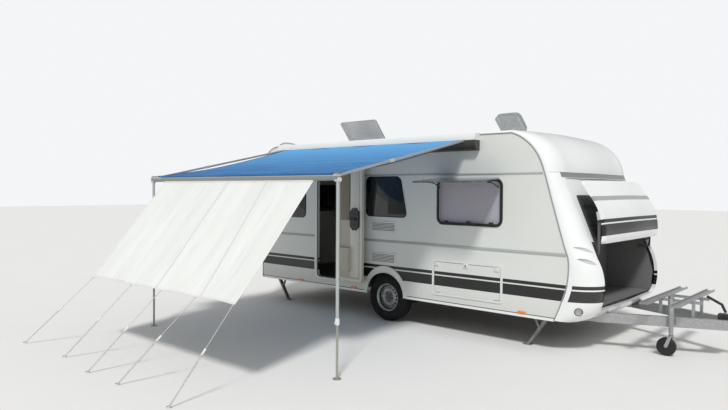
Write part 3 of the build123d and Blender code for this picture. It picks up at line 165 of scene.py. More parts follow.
world = bpy.data.worlds.new("soft_sky")
world.use_nodes = True
bpy.context.scene.world = world
SKY_LIGHT, SKY_SEEN = 0.50, 0.93
sky = world.node_tree.nodes["Background"]
to_eye = wire(world, "LightPath", out="Is Camera Ray")
seen = calc(world, "MULTIPLY_ADD", to_eye, SKY_SEEN - SKY_LIGHT, SKY_LIGHT)
world.node_tree.links.new(seen, sky.inputs["Strength"])
sky.inputs["Color"].default_value = (0.97, 0.985, 1.0, 1)

# Canopy
# One length of acrylic awning cloth, dyed blue, that runs from the case on the wall to the lead rail and
# laps over it. It hangs a little slack between its two arms, and its side hems are folded over and sewn.


def show(name, bm, material, body="body", crease=35):
    """Turn a finished bmesh into a piece that rides on a body, smooth up to the crease angle."""
    bmesh.ops.recalc_face_normals(bm, faces=bm.faces[:])
    mesh = bpy.data.meshes.new(name)
    bm.to_mesh(mesh)
    bm.free()
    mesh.materials.append(material)
    mesh.shade_smooth()
    mesh.set_sharp_from_angle(angle=math.radians(crease))
    piece = bpy.data.objects.new(name, mesh)
    link(piece)
    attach(piece, body)
    return piece


def mix(low, high, share):
    """The value a share of the way from low to high."""
    return low + (high - low) * share


def xyz(material, axis, source="Object"):
    """One of a point's coordinates, 0 for x, 1 for y and 2 for z."""
    return wire(material, "SeparateXYZ", {0: wire(material, "TexCoord", out=source)}, out=axis)


def pattern(material, kind, scale, out=1, source="Object", **settings):
    """A texture in the piece's own coordinates, or in those of its cloth, from 0 to 1."""
    point = wire(material, "TexCoord", out=source)
    return wire(material, kind, {"Vector": point, "Scale": scale}, out, **settings)


canopy_low, canopy_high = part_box("canopy")
rail_low, rail_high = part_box("awning_rail")
CANOPY_SAG, CANOPY_RIPPLE, CLOTH, SIDE_PULL, CORNER_CUT = 0.028, 0.005, 0.0012, 0.035, 0.035
# the lap over the rail, row by row, as distance behind the cloth's front edge and height over the rail
RAIL_LAP = ((0.0, 0.0005), (-0.008, 0.0035), (-0.05, 0.0035), (-0.06, 0.001), (-0.0612, -0.004),
            (-0.0612, -0.02))
CANOPY_ROWS, CANOPY_SLACK, LAP_LONG = 44, 1.002, 0.090
case_z, rail_z = canopy_high.z - 0.003, canopy_low.z + 0.0025


def canopy_point(along, down):
    """A point of the canopy: along runs from rear to front, down from the case to the rail."""
    x = mix(canopy_low.x, canopy_high.x, along)
    sag = 4 * CANOPY_SAG * down * (1 - down) * (1 + 0.7 * abs(1 - 2 * along) ** 8)
    ripple = CANOPY_RIPPLE * math.sin(x * 7.3 + down * 4) * (1 - down) ** 2
    ripple += 0.4 * CANOPY_RIPPLE * math.sin(x * 19 + down * 11) * math.sin(math.pi * down)
    pull = SIDE_PULL * math.sin(math.pi * down) * (1 - 2 * along) ** 9
    z = mix(case_z, rail_z, down) - sag + ripple
    return Vector((x + pull, mix(canopy_high.y, canopy_low.y, down), z))


acrylic = finish("blue_awning_cloth", (0.06, 0.21, 0.48), 0.85, Sheen_Weight=0.05, Specular_IOR_Level=0.15)
# painted light: the cloth is drawn lighter up towards the case and darker down towards the rail
painted_light_to_case = spread(acrylic, xyz(acrylic, 2), rail_z + 0.02, case_z)
streaks = spread(acrylic, grain(acrylic, 2.2, (0.5, 5, 1), 4), 0.35, 0.75, 0.0, 0.35)
cloth_colour = blend(acrylic, painted_light_to_case, (0.022, 0.120, 0.33), (0.105, 0.36, 0.68))
cloth_colour = blend(acrylic, streaks, cloth_colour, (0.13, 0.40, 0.72))
weave = pattern(acrylic, "TexWave", 420.0, source="UV")
drive(acrylic, Base_Color=cloth_colour, Normal=relief(acrylic, weave, 0.0004, 0.3))

all_rows = CANOPY_ROWS + len(RAIL_LAP)
bm = bmesh.new()
bm.loops.layers.uv.new("cloth")
bmesh.ops.create_grid(bm, x_segments=90, y_segments=all_rows, size=0.5, calc_uvs=True)
for vert in bm.verts:
    row = round((0.5 - vert.co.y) * all_rows)
    if row <= CANOPY_ROWS:
        vert.co = canopy_point(vert.co.x + 0.5, row / CANOPY_ROWS)
    else:
        back, rise = RAIL_LAP[row - CANOPY_ROWS - 1]
        rear_x = canopy_low.x + CORNER_CUT * (row - CANOPY_ROWS)
        x = mix(rear_x, canopy_high.x, vert.co.x + 0.5)
        vert.co = Vector((x, canopy_low.y + back, rail_high.z + rise))
canopy = show("awning_canopy", bm, acrylic, crease=180)
canopy.modifiers.new("cloth", "SOLIDIFY").thickness = CLOTH
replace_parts(canopy, "canopy")


def add_rod(bm, points, radius, sides=10):
    """A round rod through the points, mitred at each bend, added to a bmesh."""
    ring = []
    for n, point in enumerate(points):
        ahead = (points[min(n + 1, len(points) - 1)] - points[max(n - 1, 0)]).normalized()
        across = ahead.orthogonal() if n == 0 else across - ahead * across.dot(ahead)
        across.normalize()
        side = ahead.cross(across)
        row = []
        for k in range(sides):
            angle = 2 * math.pi * k / sides
            row.append(bm.verts.new(point + radius * (across * math.cos(angle) + side * math.sin(angle))))
        row_edges = [bm.edges.new((row[k - 1], row[k])) for k in range(sides)]
        if ring:
            bmesh.ops.bridge_loops(bm, edges=ring + row_edges)
        else:
            bmesh.ops.contextual_create(bm, geom=row_edges)
        ring = row_edges
    bmesh.ops.contextual_create(bm, geom=ring)


hem_finish = mottled("dark_hem", (0.016, 0.022, 0.036), (0.040, 0.055, 0.085), 0.75, 60)
drive(hem_finish, Normal=relief(hem_finish, grain(hem_finish, 260), 0.0005))
HEM_R = 0.0055
bm = bmesh.new()
for along in (0, 1):
    add_rod(bm, [canopy_point(along, n / 14) for n in range(15)], HEM_R, 8)
hem = show("canopy_side_hems", bm, hem_finish)

# Sun panel
# A white coated sheet, sewn from three widths, that hooks into the lead rail. Five guy lines draw it
# out at its foot, with faint upright folds and a foot that curves up between the eyelets.
panel_low, panel_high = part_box("sun_panel")
PANEL_FOOT_RISE, PANEL_RIPPLE, SCALLOP, SCALLOP_RUN = 0.03, 0.007, 0.012, 0.25
GUY_TOPS = [spot(x, 0, 0).x for x in (-1.690, -0.800, -0.200, 0.420, 1.000)]
panel_out = Vector((0, -(panel_high.z - panel_low.z), panel_high.y - panel_low.y)).normalized()


def panel_point(along, down):
    """A point of the sun panel: along runs from rear to front, down from the rail to the foot."""
    x = mix(panel_low.x, panel_high.x, along)
    y = mix(panel_high.y - 0.002, panel_low.y + 0.002, down)
    nearest = min(abs(x - top) for top in GUY_TOPS)
    lift = down**6 * (SCALLOP * min(1, nearest / SCALLOP_RUN) + PANEL_FOOT_RISE * along)
    fold = math.sin(x * 9 + 2 * math.sin(x * 2.1)) + 0.5 * math.sin(x * 23 + 1)
    bulge = PANEL_RIPPLE * fold * (0.35 + 0.65 * down) * math.sin(math.pi * (0.1 + 0.85 * down))
    return Vector((x, y, mix(panel_high.z, panel_low.z, down) + lift)) + panel_out * bulge


def within(material, value, low, high):
    """1 where a value lies between two limits, otherwise 0."""
    return calc(material, "COMPARE", value, (low + high) / 2, (high - low) / 2)


coated = finish("white_coated_sheet", (0.86, 0.87, 0.84), 0.5, Sheen_Weight=0.1)
mottle = spread(coated, grain(coated, 1.1, (3, 1, 0.6), 2), 0.3, 0.7, 0, 0.6)
sheet_colour = blend(coated, mottle, (0.80, 0.81, 0.78), (0.70, 0.71, 0.68))
cloth_run, cloth_fall = (xyz(coated, axis, "UV") for axis in (0, 1))
# where each seam meets the panel's head and foot, as a share of its length
for head_at, foot_at in ((0.496, 0.516), (0.746, 0.806)):
    drift = calc(coated, "MULTIPLY_ADD", cloth_fall, foot_at - head_at, 0.0)
    seam_at = calc(coated, "ADD", cloth_run, drift)
    # painted shade along each seam: a grey band where the widths lap and a darker line at the stitches
    seam_shade_band = within(coated, seam_at, foot_at - 0.007, foot_at)
    seam_shade_line = within(coated, seam_at, foot_at, foot_at + 0.0015)
    sheet_colour = blend(coated, seam_shade_band, sheet_colour, (0.66, 0.67, 0.66))
    sheet_colour = blend(coated, seam_shade_line, sheet_colour, (0.50, 0.51, 0.50))
creases = grain(coated, 3.0, (6, 1, 0.5))
# painted shade in the faint creases, from the same noise as their bump
crease_shade = spread(coated, creases, 0.58, 0.72, 0.0, 0.30)
sheet_colour = blend(coated, crease_shade, sheet_colour, (0.60, 0.61, 0.60))
drive(coated, Base_Color=sheet_colour, Normal=relief(coated, creases, 0.02, 0.35))

bm = bmesh.new()
bm.loops.layers.uv.new("cloth")
bmesh.ops.create_grid(bm, x_segments=140, y_segments=48, size=0.5, calc_uvs=True)
for vert in bm.verts:
    vert.co = panel_point(vert.co.x + 0.5, 0.5 - vert.co.y)
sun_panel = show("sun_panel_sheet", bm, coated, crease=180)
sun_panel.modifiers.new("cloth", "SOLIDIFY").thickness = CLOTH
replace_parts(sun_panel, "sun_panel")

FOOT_HEM_R, SIDE_HEM_R = 0.006, 0.0036
bm = bmesh.new()
add_rod(bm, [panel_point(n / 60, 1) for n in range(61)], FOOT_HEM_R, 8)
for along in (0, 1):
    add_rod(bm, [panel_point(along, n / 20) for n in range(21)], SIDE_HEM_R, 6)
panel_hem = show("sun_panel_hem", bm, coated)

# Guy lines
# Five braided lines, each knotted into an eyelet of the sun panel. At a white plastic runner half way
# the line turns double, down to a loop over a steel peg in the ground, and so it is tightened.
PEG_FEET = ((-2.240, -4.950), (-1.300, -4.890), (-0.570, -4.970), (0.0, -4.950), (0.880, -4.950))
LINE_R, RUNNER_AT, RUNNER_R, HALF_RUNNER = 0.0030, 0.48, 0.0095, 0.03
PEG_R, PEG_EYE_Z, LOOP_HALF = 0.0045, 0.014, Vector((0.007, 0, 0))
PEG_HOOK = ((-0.028, 0.004), (0.010, 0.006), (0.016, -0.012))
braid = mottled("pale_braid", (0.70, 0.69, 0.62), (0.36, 0.36, 0.32), 0.8, 180, (0.4, 0.6))
steel = finish("zinc_steel", (0.46, 0.47, 0.47), 0.42, Metallic=0.85)
spangle = pattern(steel, "TexVoronoi", 70.0, 0)
drive(steel, Base_Color=blend(steel, spangle, (0.36, 0.37, 0.37), (0.56, 0.57, 0.57)),
      Roughness=spread(steel, spangle, 0, 1, 0.34, 0.56))
bm, runners, pegs = bmesh.new(), bmesh.new(), bmesh.new()
for top_x, (peg_x, peg_y) in zip(GUY_TOPS, PEG_FEET):
    along = (top_x - panel_low.x) / (panel_high.x - panel_low.x)
    top, peg = panel_point(along, 1), spot(peg_x, peg_y, PEG_EYE_Z)
    runner = top.lerp(peg, RUNNER_AT)
    down_line = (peg - top).normalized()
    add_rod(bm, [top, runner], LINE_R, 8)
    loop = [runner + LOOP_HALF, peg + LOOP_HALF * 0.8, peg - LOOP_HALF * 0.8, runner - LOOP_HALF]
    add_rod(bm, loop, LINE_R * 1.3, 8)
    add_rod(bm, [top - down_line * 0.006, top + down_line * 0.016], LINE_R * 2, 10)
    half_run = down_line * HALF_RUNNER
    add_rod(runners, [runner - half_run, runner, runner + half_run], RUNNER_R, 10)
    add_rod(pegs, [peg + Vector((0, y, z)) for y, z in PEG_HOOK], PEG_R, 8)
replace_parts(show("guy_line_cords", bm, braid), "guy_lines")
runner_finish = mottled("runner_plastic", (0.76, 0.76, 0.73), (0.84, 0.84, 0.81), 0.45, 120)
show("guy_runners", runners, runner_finish)
show("guy_pegs", pegs, steel)

# Awning case, rail, posts and arms
# Extruded aluminium: a case on the wall with cast ends, a lead rail with a cream keder lip, two hanging
# posts of two tubes with a plastic clamp, and two arms that hold the rail out.


def dress(material, *names):
    """Give CAD nodes a material in place of their plain one."""
    for name in names:
        for slot in cad[name].material_slots:
            slot.material = material


anodised = finish("grey_anodised", (0.36, 0.37, 0.38), 0.38, Metallic=0.55)
drawn = grain(anodised, 60, (0.05, 1, 1), 2)
drive(anodised, Base_Color=blend(anodised, drawn, (0.30, 0.31, 0.32), (0.44, 0.45, 0.46)),
      Roughness=spread(anodised, drawn, 0.2, 0.8, 0.3, 0.48))
# heights of the posts' white clamps, of the rail's foot and of a painted highlight along its face
CLAMPS, RAIL_FOOT_Z, RAIL_HIGHLIGHT = (0.50, 0.582), 1.880, (1.934, 1.944)
tube = finish("post_tube", (0.46, 0.49, 0.48), 0.38, Metallic=0.25)
rail_height = xyz(tube, 2)
clamp_here = within(tube, rail_height, *CLAMPS)
on_rail = calc(tube, "GREATER_THAN", rail_height, RAIL_FOOT_Z)
# painted highlight: a light line along the top of the rail's face
rail_highlight = within(tube, rail_height, *RAIL_HIGHLIGHT)
tube_colour = blend(tube, on_rail, (0.46, 0.49, 0.48), (0.27, 0.29, 0.285))
tube_colour = blend(tube, rail_highlight, tube_colour, (0.62, 0.64, 0.63))
drive(tube, Base_Color=blend(tube, clamp_here, tube_colour, (0.80, 0.80, 0.77)),
      Roughness=spread(tube, grain(tube, 40, (1, 1, 0.1)), 0.2, 0.8, 0.3, 0.46))
dress(tube, "awning_rail")
lower_tube = mottled("lower_post_tube", (0.30, 0.32, 0.27), (0.44, 0.46, 0.41), 0.42, 30,
                     stretch=(1, 1, 0.15), Metallic=0.4)
dress(lower_tube, "post_foot_front", "post_foot_rear")
ELBOW, CASE_TOP_Z = (-2.678, -2.606), 2.406
arm = finish("arm_profile", (0.50, 0.51, 0.51), 0.4, Metallic=0.3)
elbow_here = within(arm, xyz(arm, 1), *(CENTRE_Y + y for y in ELBOW))
arm_colour = blend(arm, grain(arm, 50, (1, 0.05, 1)), (0.32, 0.33, 0.33), (0.42, 0.43, 0.43))
drive(arm, Base_Color=blend(arm, elbow_here, arm_colour, (0.55, 0.55, 0.53)))
dress(arm, "awning_arms")
# below the line where the cloth leaves it, the case and its cast ends are near-black: painted shade, over
# the ends' own dark grey
case_paint = finish("case_profile", (0.045, 0.047, 0.05), 0.45)
case_top = spread(case_paint, xyz(case_paint, 2), CASE_TOP_Z, CASE_TOP_Z + 0.004)
case_shade_and_ends = blend(case_paint, grain(case_paint, 25), (0.036, 0.035, 0.032), (0.060, 0.058, 0.053))
case_over = blend(case_paint, grain(case_paint, 9, (0.1, 1, 1)), (0.80, 0.81, 0.79), (0.70, 0.71, 0.69))
drive(case_paint, Base_Color=blend(case_paint, case_top, case_shade_and_ends, case_over))
dress(case_paint, "awning_case")

keder = mottled("cream_keder", (0.74, 0.73, 0.64), (0.82, 0.81, 0.73), 0.55, 30)
KEDER_R, KEDER_Z = 0.010, 1.885
bm = bmesh.new()
keder_y = rail_low.y + 0.016
add_rod(bm, [Vector((panel_low.x, keder_y, KEDER_Z)), Vector((panel_high.x, keder_y, KEDER_Z))], KEDER_R, 10)
show("rail_keder", bm, keder)
POST_XS, POST_Y, KNUCKLE_Z, CLAMP_Z = (1.342, -2.020), -3.457, 1.897, 0.541
KNUCKLE_HALF, KNUCKLE_R, KNOB_R = 0.030, 0.022, 0.011
bm = bmesh.new()
for x in POST_XS:
    knuckle = [spot(x + side * KNUCKLE_HALF, POST_Y, KNUCKLE_Z) for side in (-1, 1)]
    add_rod(bm, knuckle, KNUCKLE_R, 20)
    add_rod(bm, [spot(x, POST_Y - out, CLAMP_Z) for out in (0.020, 0.032)], KNOB_R, 12)
joint_plastic = mottled("joint_plastic", (0.58, 0.59, 0.57), (0.68, 0.69, 0.67), 0.45, 40)
show("post_joints", bm, joint_plastic)

# Walls and roof
# The sides are enamelled aluminium sheet over foam, with a charcoal stripe, and two grey beads are
# fixed along them. The roof is one sheet of white plastic, clamped to the walls by grey piping.
STRIPE_LOW, STRIPE_PIN, STRIPE_TOP, PIN_LINE = 0.590, 0.716, 0.772, 0.016
CHARCOAL, CHARCOAL_WORN = (0.0105, 0.0105, 0.0100), (0.019, 0.018, 0.017)


def striped(material, paint, z, mask=None):
    """Paint with the charcoal stripe: a wide band, a white pin line and a narrow band above."""
    wide = within(material, z, STRIPE_LOW, STRIPE_PIN)
    narrow = within(material, z, STRIPE_PIN + PIN_LINE, STRIPE_TOP)
    both = calc(material, "ADD", wide, narrow)
    if mask is not None:
        both = calc(material, "MULTIPLY", both, mask)
    film = blend(material, grain(material, 8), CHARCOAL, CHARCOAL_WORN)
    return blend(material, both, paint, film)


def patchy(material, scale, low, high, detail=3.0):
    """A roughness that drifts between two values."""
    return spread(material, grain(material, scale, detail=detail), 0.3, 0.7, low, high)


def off_centre(material):
    """Distance from the caravan's centre line."""
    return calc(material, "ABSOLUTE", calc(material, "SUBTRACT", xyz(material, 1), CENTRE_Y))


# heights where road dust begins and is full, and of the dark line over the sill profile
DUST, SILL_LINE, LINING_Y = (0.62, 0.34), (0.385, 0.396), (1.136, 1.132)
enamel = finish("wall_enamel", (0.72, 0.74, 0.70), 0.34, Coat_Weight=0.12, Coat_Roughness=0.15)
wall_z = xyz(enamel, 2)
clouds = spread(enamel, grain(enamel, 0.9, detail=4), 0.35, 0.7)
wall_colour = blend(enamel, clouds, (0.735, 0.755, 0.715), (0.69, 0.71, 0.67))
road_dust = spread(enamel, wall_z, *DUST, 0.0, 0.28)
wall_colour = blend(enamel, road_dust, wall_colour, (0.56, 0.53, 0.46))
wall_colour = blend(enamel, within(enamel, wall_z, *SILL_LINE), wall_colour, (0.09, 0.09, 0.08))
inner = spread(enamel, off_centre(enamel), *LINING_Y)
facing_y = spread(enamel, calc(enamel, "ABSOLUTE", xyz(enamel, 1, "Normal")), 0.8, 0.9)
inner = calc(enamel, "MULTIPLY", inner, facing_y)
lining = blend(enamel, grain(enamel, 5, detail=5), (0.40, 0.35, 0.28), (0.47, 0.42, 0.34))
hammered = pattern(enamel, "TexVoronoi", 240.0, 0)
drive(enamel, Base_Color=blend(enamel, inner, striped(enamel, wall_colour, wall_z), lining),
      Normal=relief(enamel, hammered, 0.0003, 0.12), Roughness=patchy(enamel, 5, 0.28, 0.42))
dress(enamel, "side_wall_right", "side_wall_left", "service_hatch")

gelcoat = mottled("white_gelcoat", (0.87, 0.88, 0.86), (0.83, 0.84, 0.82), 0.3, 1.2, (0.35, 0.7),
                  Coat_Weight=0.2, Coat_Roughness=0.2)
drive(gelcoat, Roughness=patchy(gelcoat, 4, 0.31, 0.39, 1))
dress(gelcoat, "front_wall", "rear_wall", "rear_bumper", "sills", "rooflight_frames")
roof_skin = mottled("roof_sheet", (0.85, 0.86, 0.84), (0.77, 0.77, 0.73), 0.42, 1.6, (0.4, 0.75), detail=5)
drive(roof_skin, Normal=relief(roof_skin, grain(roof_skin, 130), 0.0004, 0.2))
dress(roof_skin, "roof")

# the bare flange beside the seam keeps the stripe off the shell's edge, and a grey band with a fine
# line over it lies above the front window
FLANGE_Y, FASCIA_Y, FASCIA, JOINT_LINE = 1.1465, 1.005, (1.956, 2.012), (2.012, 2.016)
nose = finish("nose_gelcoat", (0.86, 0.87, 0.85), 0.18, Coat_Weight=0.6, Coat_Roughness=0.05)
nose_off, nose_z = off_centre(nose), xyz(nose, 2)
inboard = calc(nose, "LESS_THAN", nose_off, FLANGE_Y)
nose_clouds = spread(nose, grain(nose, 1.2), 0.35, 0.7)
shell_colour = blend(nose, nose_clouds, (0.87, 0.88, 0.87), (0.84, 0.85, 0.84))
fascia = calc(nose, "LESS_THAN", nose_off, FASCIA_Y)
fascia = calc(nose, "MULTIPLY", fascia, within(nose, nose_z, *FASCIA))
shell_colour = blend(nose, fascia, shell_colour, (0.20, 0.21, 0.21))
joint_line = calc(nose, "MULTIPLY", inboard, within(nose, nose_z, *JOINT_LINE))
shell_colour = blend(nose, joint_line, shell_colour, (0.25, 0.26, 0.26))
nose_place = wire(nose, "CombineXYZ", {0: xyz(nose, 0), 1: nose_off, 2: nose_z})
# each scoop for a hand: its two tips and half its height, with painted shade in it, darkest under its upper
# edge
GRIP_SCOOPS = (((2.630, 1.128, 1.188), (2.792, 0.925, 1.128), 0.017),
               ((2.672, 1.128, 1.064), (2.838, 0.958, 1.000), 0.022))
NOSE_FACING = Vector((0.76, 0.58, 0.29))
for start, end, half_high in GRIP_SCOOPS:
    start, end = (Vector((AXLE_X + x, y, z)) for x, y, z in (start, end))
    lengthwise, half_long = (end - start).normalized(), (end - start).length / 2
    square = NOSE_FACING - lengthwise * NOSE_FACING.dot(lengthwise)
    upward = square.normalized().cross(lengthwise)
    shares = []
    for direction, half in ((lengthwise, half_long), (upward, half_high)):
        dot = {0: nose_place, 1: direction / half}
        dot = wire(nose, "VectorMath", dot, out=1, operation="DOT_PRODUCT")
        shares.append(calc(nose, "SUBTRACT", dot, ((start + end) / 2).dot(direction) / half))
    squared = calc(nose, "MULTIPLY", shares[0], shares[0])
    reach = calc(nose, "ADD", calc(nose, "ABSOLUTE", shares[1]), squared)
    # painted shade inside the scoop
    shade = spread(nose, shares[1], -0.9, 1.0, 0.10, 0.75)
    scoop_shade = calc(nose, "MULTIPLY", spread(nose, reach, 1.02, 0.94), shade)
    shell_colour = blend(nose, scoop_shade, shell_colour, (0.20, 0.21, 0.22))
drive(nose, Base_Color=striped(nose, shell_colour, nose_z, inboard),
      Roughness=patchy(nose, 4, 0.14, 0.26))
dress(nose, "front_moulding")

# the side seam, down the front edge of the wall and along the roof, as ends and middles of its arcs
SEAM = ((2.436, 0.366), (2.483, 0.475), (2.526, 0.590), (2.575, 0.745), (2.597, 0.905), (2.593, 1.060),
        (2.546, 1.200), (2.414, 1.640), (2.282, 2.085), (2.172, 2.285), (2.030, 2.412), (1.900, 2.474))
WALL_Y, BEAD_R, SEAM_Z = 1.150, 0.007, 2.482
REAR_BEND_X, REAR_BEND_Z, REAR_BEND_R, REAR_FOOT = -2.268, 2.142, 0.340, (-2.631, 0.37)
piping = mottled("grey_piping", (0.25, 0.26, 0.26), (0.37, 0.38, 0.38), 0.5, 60)


def smooth_path(points, steps=6):
    """Points along a smooth curve through the given ones."""
    path = [points[0]]
    for n in range(len(points) - 1):
        before, start = points[max(n - 1, 0)], points[n]
        end, after = points[n + 1], points[min(n + 2, len(points) - 1)]
        for k in range(1, steps + 1):
            t = k / steps
            curve = start * 2 + (end - before) * t + (before * 2 - start * 5 + end * 4 - after) * t**2
            path.append((curve + (start * 3 - before - end * 3 + after) * t**3) / 2)
    return path


bm = bmesh.new()
for side in (-1, 1):
    seam_y = side * (WALL_Y + 0.002)
    edge = [spot(x, seam_y, z) for x, z in SEAM]
    roof_run = edge[-1:] + [spot(x, seam_y, SEAM_Z) for x in (0.8, -0.6, -1.6)]
    rear_run = roof_run[-1:]
    for n in range(13):
        angle = math.radians(90 * n / 12)
        x, z = REAR_BEND_X - REAR_BEND_R * math.sin(angle), REAR_BEND_Z + REAR_BEND_R * math.cos(angle)
        rear_run.append(spot(x, seam_y, z))
    rear_run.append(spot(REAR_FOOT[0], seam_y, REAR_FOOT[1]))
    add_rod(bm, smooth_path(edge), BEAD_R, 8)
    add_rod(bm, smooth_path(roof_run, 2), BEAD_R, 8)
    add_rod(bm, rear_run, BEAD_R, 8)
    # the second bead stands beside the first one along the roof only
    second = [spot(x - 0.006, side * (WALL_Y - 0.012), z + 0.020) for x, z in SEAM[8:]]
    add_rod(bm, smooth_path(second), BEAD_R * 0.8, 8)
# one more bead covers the joint across the roof's rear end, and lies on the higher of its two sides
skins = bmesh.new()
for name in ("roof", "rear_wall"):
    skins.from_mesh(cad[name].data)
skin_tree, down = BVHTree.FromBMesh(skins), Vector((0, 0, -1))
skins.free()
joint, ROOF_JOINT_X, JOINT_HALF = [], -2.270, 1.10
for n in range(-22, 23):
    y = JOINT_HALF * n / 22
    sides = [spot(ROOF_JOINT_X + step, y, 3) for step in (-0.004, 0.004)]
    top = max(skin_tree.ray_cast(above, down)[0].z for above in sides)
    joint.append(spot(ROOF_JOINT_X, y, top + 0.001))
add_rod(bm, joint, BEAD_R, 8)
show("seam_piping", bm, piping)


def add_block(bm, low, high, soft, steps=2):
    """A block between two corners with softened edges, added to a bmesh."""
    size, middle = high - low, (low + high) / 2
    stretched = Matrix.Translation(middle) @ Matrix.Diagonal((*size, 1))
    made = bmesh.ops.create_cube(bm, size=1.0, matrix=stretched)
    edges = list({edge for vert in made["verts"] for edge in vert.link_edges})
    bmesh.ops.bevel(bm, geom=edges, offset=soft, affect="EDGES", segments=steps, profile=0.5, material=-1)


WALL_BEAD_OUT, WALL_BEAD_SOFT = 0.007, 0.0034
bead_finish = mottled("grey_wall_bead", (0.36, 0.38, 0.36), (0.46, 0.48, 0.46), 0.4, 12, stretch=(0.1, 1, 1))
bm = bmesh.new()
for side, runs in ((-1, ((-2.61, -1.40), (-0.735, 2.575))), (1, ((-2.61, 2.575),))):
    low_y, high_y = sorted((side * WALL_Y, side * (WALL_Y + WALL_BEAD_OUT)))
    for start_x, end_x in runs:
        # the wide bead in the middle of the wall, then the narrow one over the windows
        for low_z, high_z, last_x in ((1.085, 1.119, end_x), (1.992, 2.014, min(end_x, 2.29))):
            low, high = spot(start_x, low_y, low_z), spot(last_x, high_y, high_z)
            add_block(bm, low, high, WALL_BEAD_SOFT, 3)
show("wall_beads", bm, bead_finish)

# Trims
# White plastic mouldings: the frames of the door and the hatch, two slatted vents, and the band over
# the wheel, whose edges are rolled.
# the two vents lie between these places, over the wheel, and their slots go this deep; painted shade darkens
# the slots, more deeper in
VENT_X, VENT_Z, SLOT_Y = (-0.247, 0.178), 0.80, (-1.1605, -1.1555)
trim = finish("trim_plastic", (0.80, 0.80, 0.76), 0.38)
slot_depth = spread(trim, xyz(trim, 1), *(CENTRE_Y + y for y in SLOT_Y))
in_vent_x = within(trim, xyz(trim, 0), *(AXLE_X + x for x in VENT_X))
above_arch = calc(trim, "GREATER_THAN", xyz(trim, 2), VENT_Z)
# painted shade inside the vents' slots
slot_shade = calc(trim, "MULTIPLY", slot_depth, in_vent_x)
slot_shade = calc(trim, "MULTIPLY", slot_shade, above_arch)
trim_colour = blend(trim, grain(trim, 6), (0.79, 0.79, 0.75), (0.72, 0.72, 0.68))
drive(trim, Base_Color=blend(trim, slot_shade, trim_colour, (0.07, 0.07, 0.065)))
dress(trim, "side_trims")
# each rolled edge is half an oval: half its length, its height and the radius of its roll
ARCH_LIPS = ((0.371, 0.388, 0.006), (0.334, 0.308, 0.010))
ARCH_MID_Z, ARCH_OUT = 0.370, 1.164
bm = bmesh.new()
for side in (-1, 1):
    for half, high, lip_r in ARCH_LIPS:
        turns = [math.radians(-2 + 184 * n / 36) for n in range(37)]
        arc = [spot(half * math.cos(t), side * ARCH_OUT, ARCH_MID_Z + high * math.sin(t)) for t in turns]
        add_rod(bm, arc, lip_r, 8)
show("arch_lips", bm, trim)
latch_finish = mottled("hatch_latch", (0.74, 0.74, 0.70), (0.68, 0.68, 0.64), 0.4, 20)
LATCHES, LATCH_HALF, LATCH_HIGH = ((0.862, 0.842), (1.728, 0.842), (1.295, 0.846)), 0.034, 0.052
bm, lock_bm = bmesh.new(), bmesh.new()
for mid_x, low_z in LATCHES:
    low = spot(mid_x - LATCH_HALF, -1.170, low_z)
    add_block(bm, low, spot(mid_x + LATCH_HALF, -1.157, low_z + LATCH_HIGH), 0.006, 3)
lock, LOCK_R = spot(1.295, -1.171, 0.872), 0.011
add_rod(lock_bm, [lock, lock + Vector((0, 0.006, 0))], LOCK_R, 20)
show("hatch_latches", bm, latch_finish, "service_hatch")

# Windows
# Double acrylic panes, bonded and rounded at their edges, held against the wall in black rubber.
# The tint is dark, and the closed ones show little of the cabin.


def join(bm, part):
    """Add a part that was made on its own to a bmesh."""
    spare = bpy.data.meshes.new("spare")
    part.to_mesh(spare)
    part.free()
    bm.from_mesh(spare)
    bpy.data.meshes.remove(spare)


def add_plate(bm, corners, radius, depth, soft, margin=0.0):
    """A plate with rounded corners, or a frame of that margin, added to a bmesh."""
    part = bmesh.new()
    part.faces.new([part.verts.new(corner) for corner in corners])
    round_off = {"segments": 7, "profile": 0.5, "material": -1}
    bmesh.ops.bevel(part, geom=part.verts[:], offset=radius, affect="VERTICES", **round_off)
    if margin:
        inset = {"thickness": margin, "use_even_offset": True, "use_boundary": True}
        rim = bmesh.ops.inset_region(part, faces=part.faces[:], **inset)["faces"]
        middle = [face for face in part.faces if face not in rim]
        bmesh.ops.delete(part, geom=middle, context="FACES")
    lifted = bmesh.ops.extrude_face_region(part, geom=part.faces[:])["geom"]
    lifted = [item for item in lifted if isinstance(item, bmesh.types.BMVert)]
    bmesh.ops.translate(part, vec=depth, verts=lifted)
    bmesh.ops.recalc_face_normals(part, faces=part.faces[:])
    rims = [e for e in part.edges if len(e.link_faces) == 2 and e.calc_face_angle() > 0.8]
    bmesh.ops.bevel(part, geom=rims, offset=soft, affect="EDGES", segments=2, profile=0.5, material=-1)
    join(bm, part)


def wall_corners(rear, front, low, top, lean, side, out, grow=0.0):
    """Four corners of a window or panel on a side wall, grown all round by a margin."""
    y = side * (WALL_Y + out)
    return [spot(rear - grow, y, low - grow), spot(front + grow, y, low - grow),
            spot(front + grow - lean, y, top + grow), spot(rear - grow, y, top + grow)]


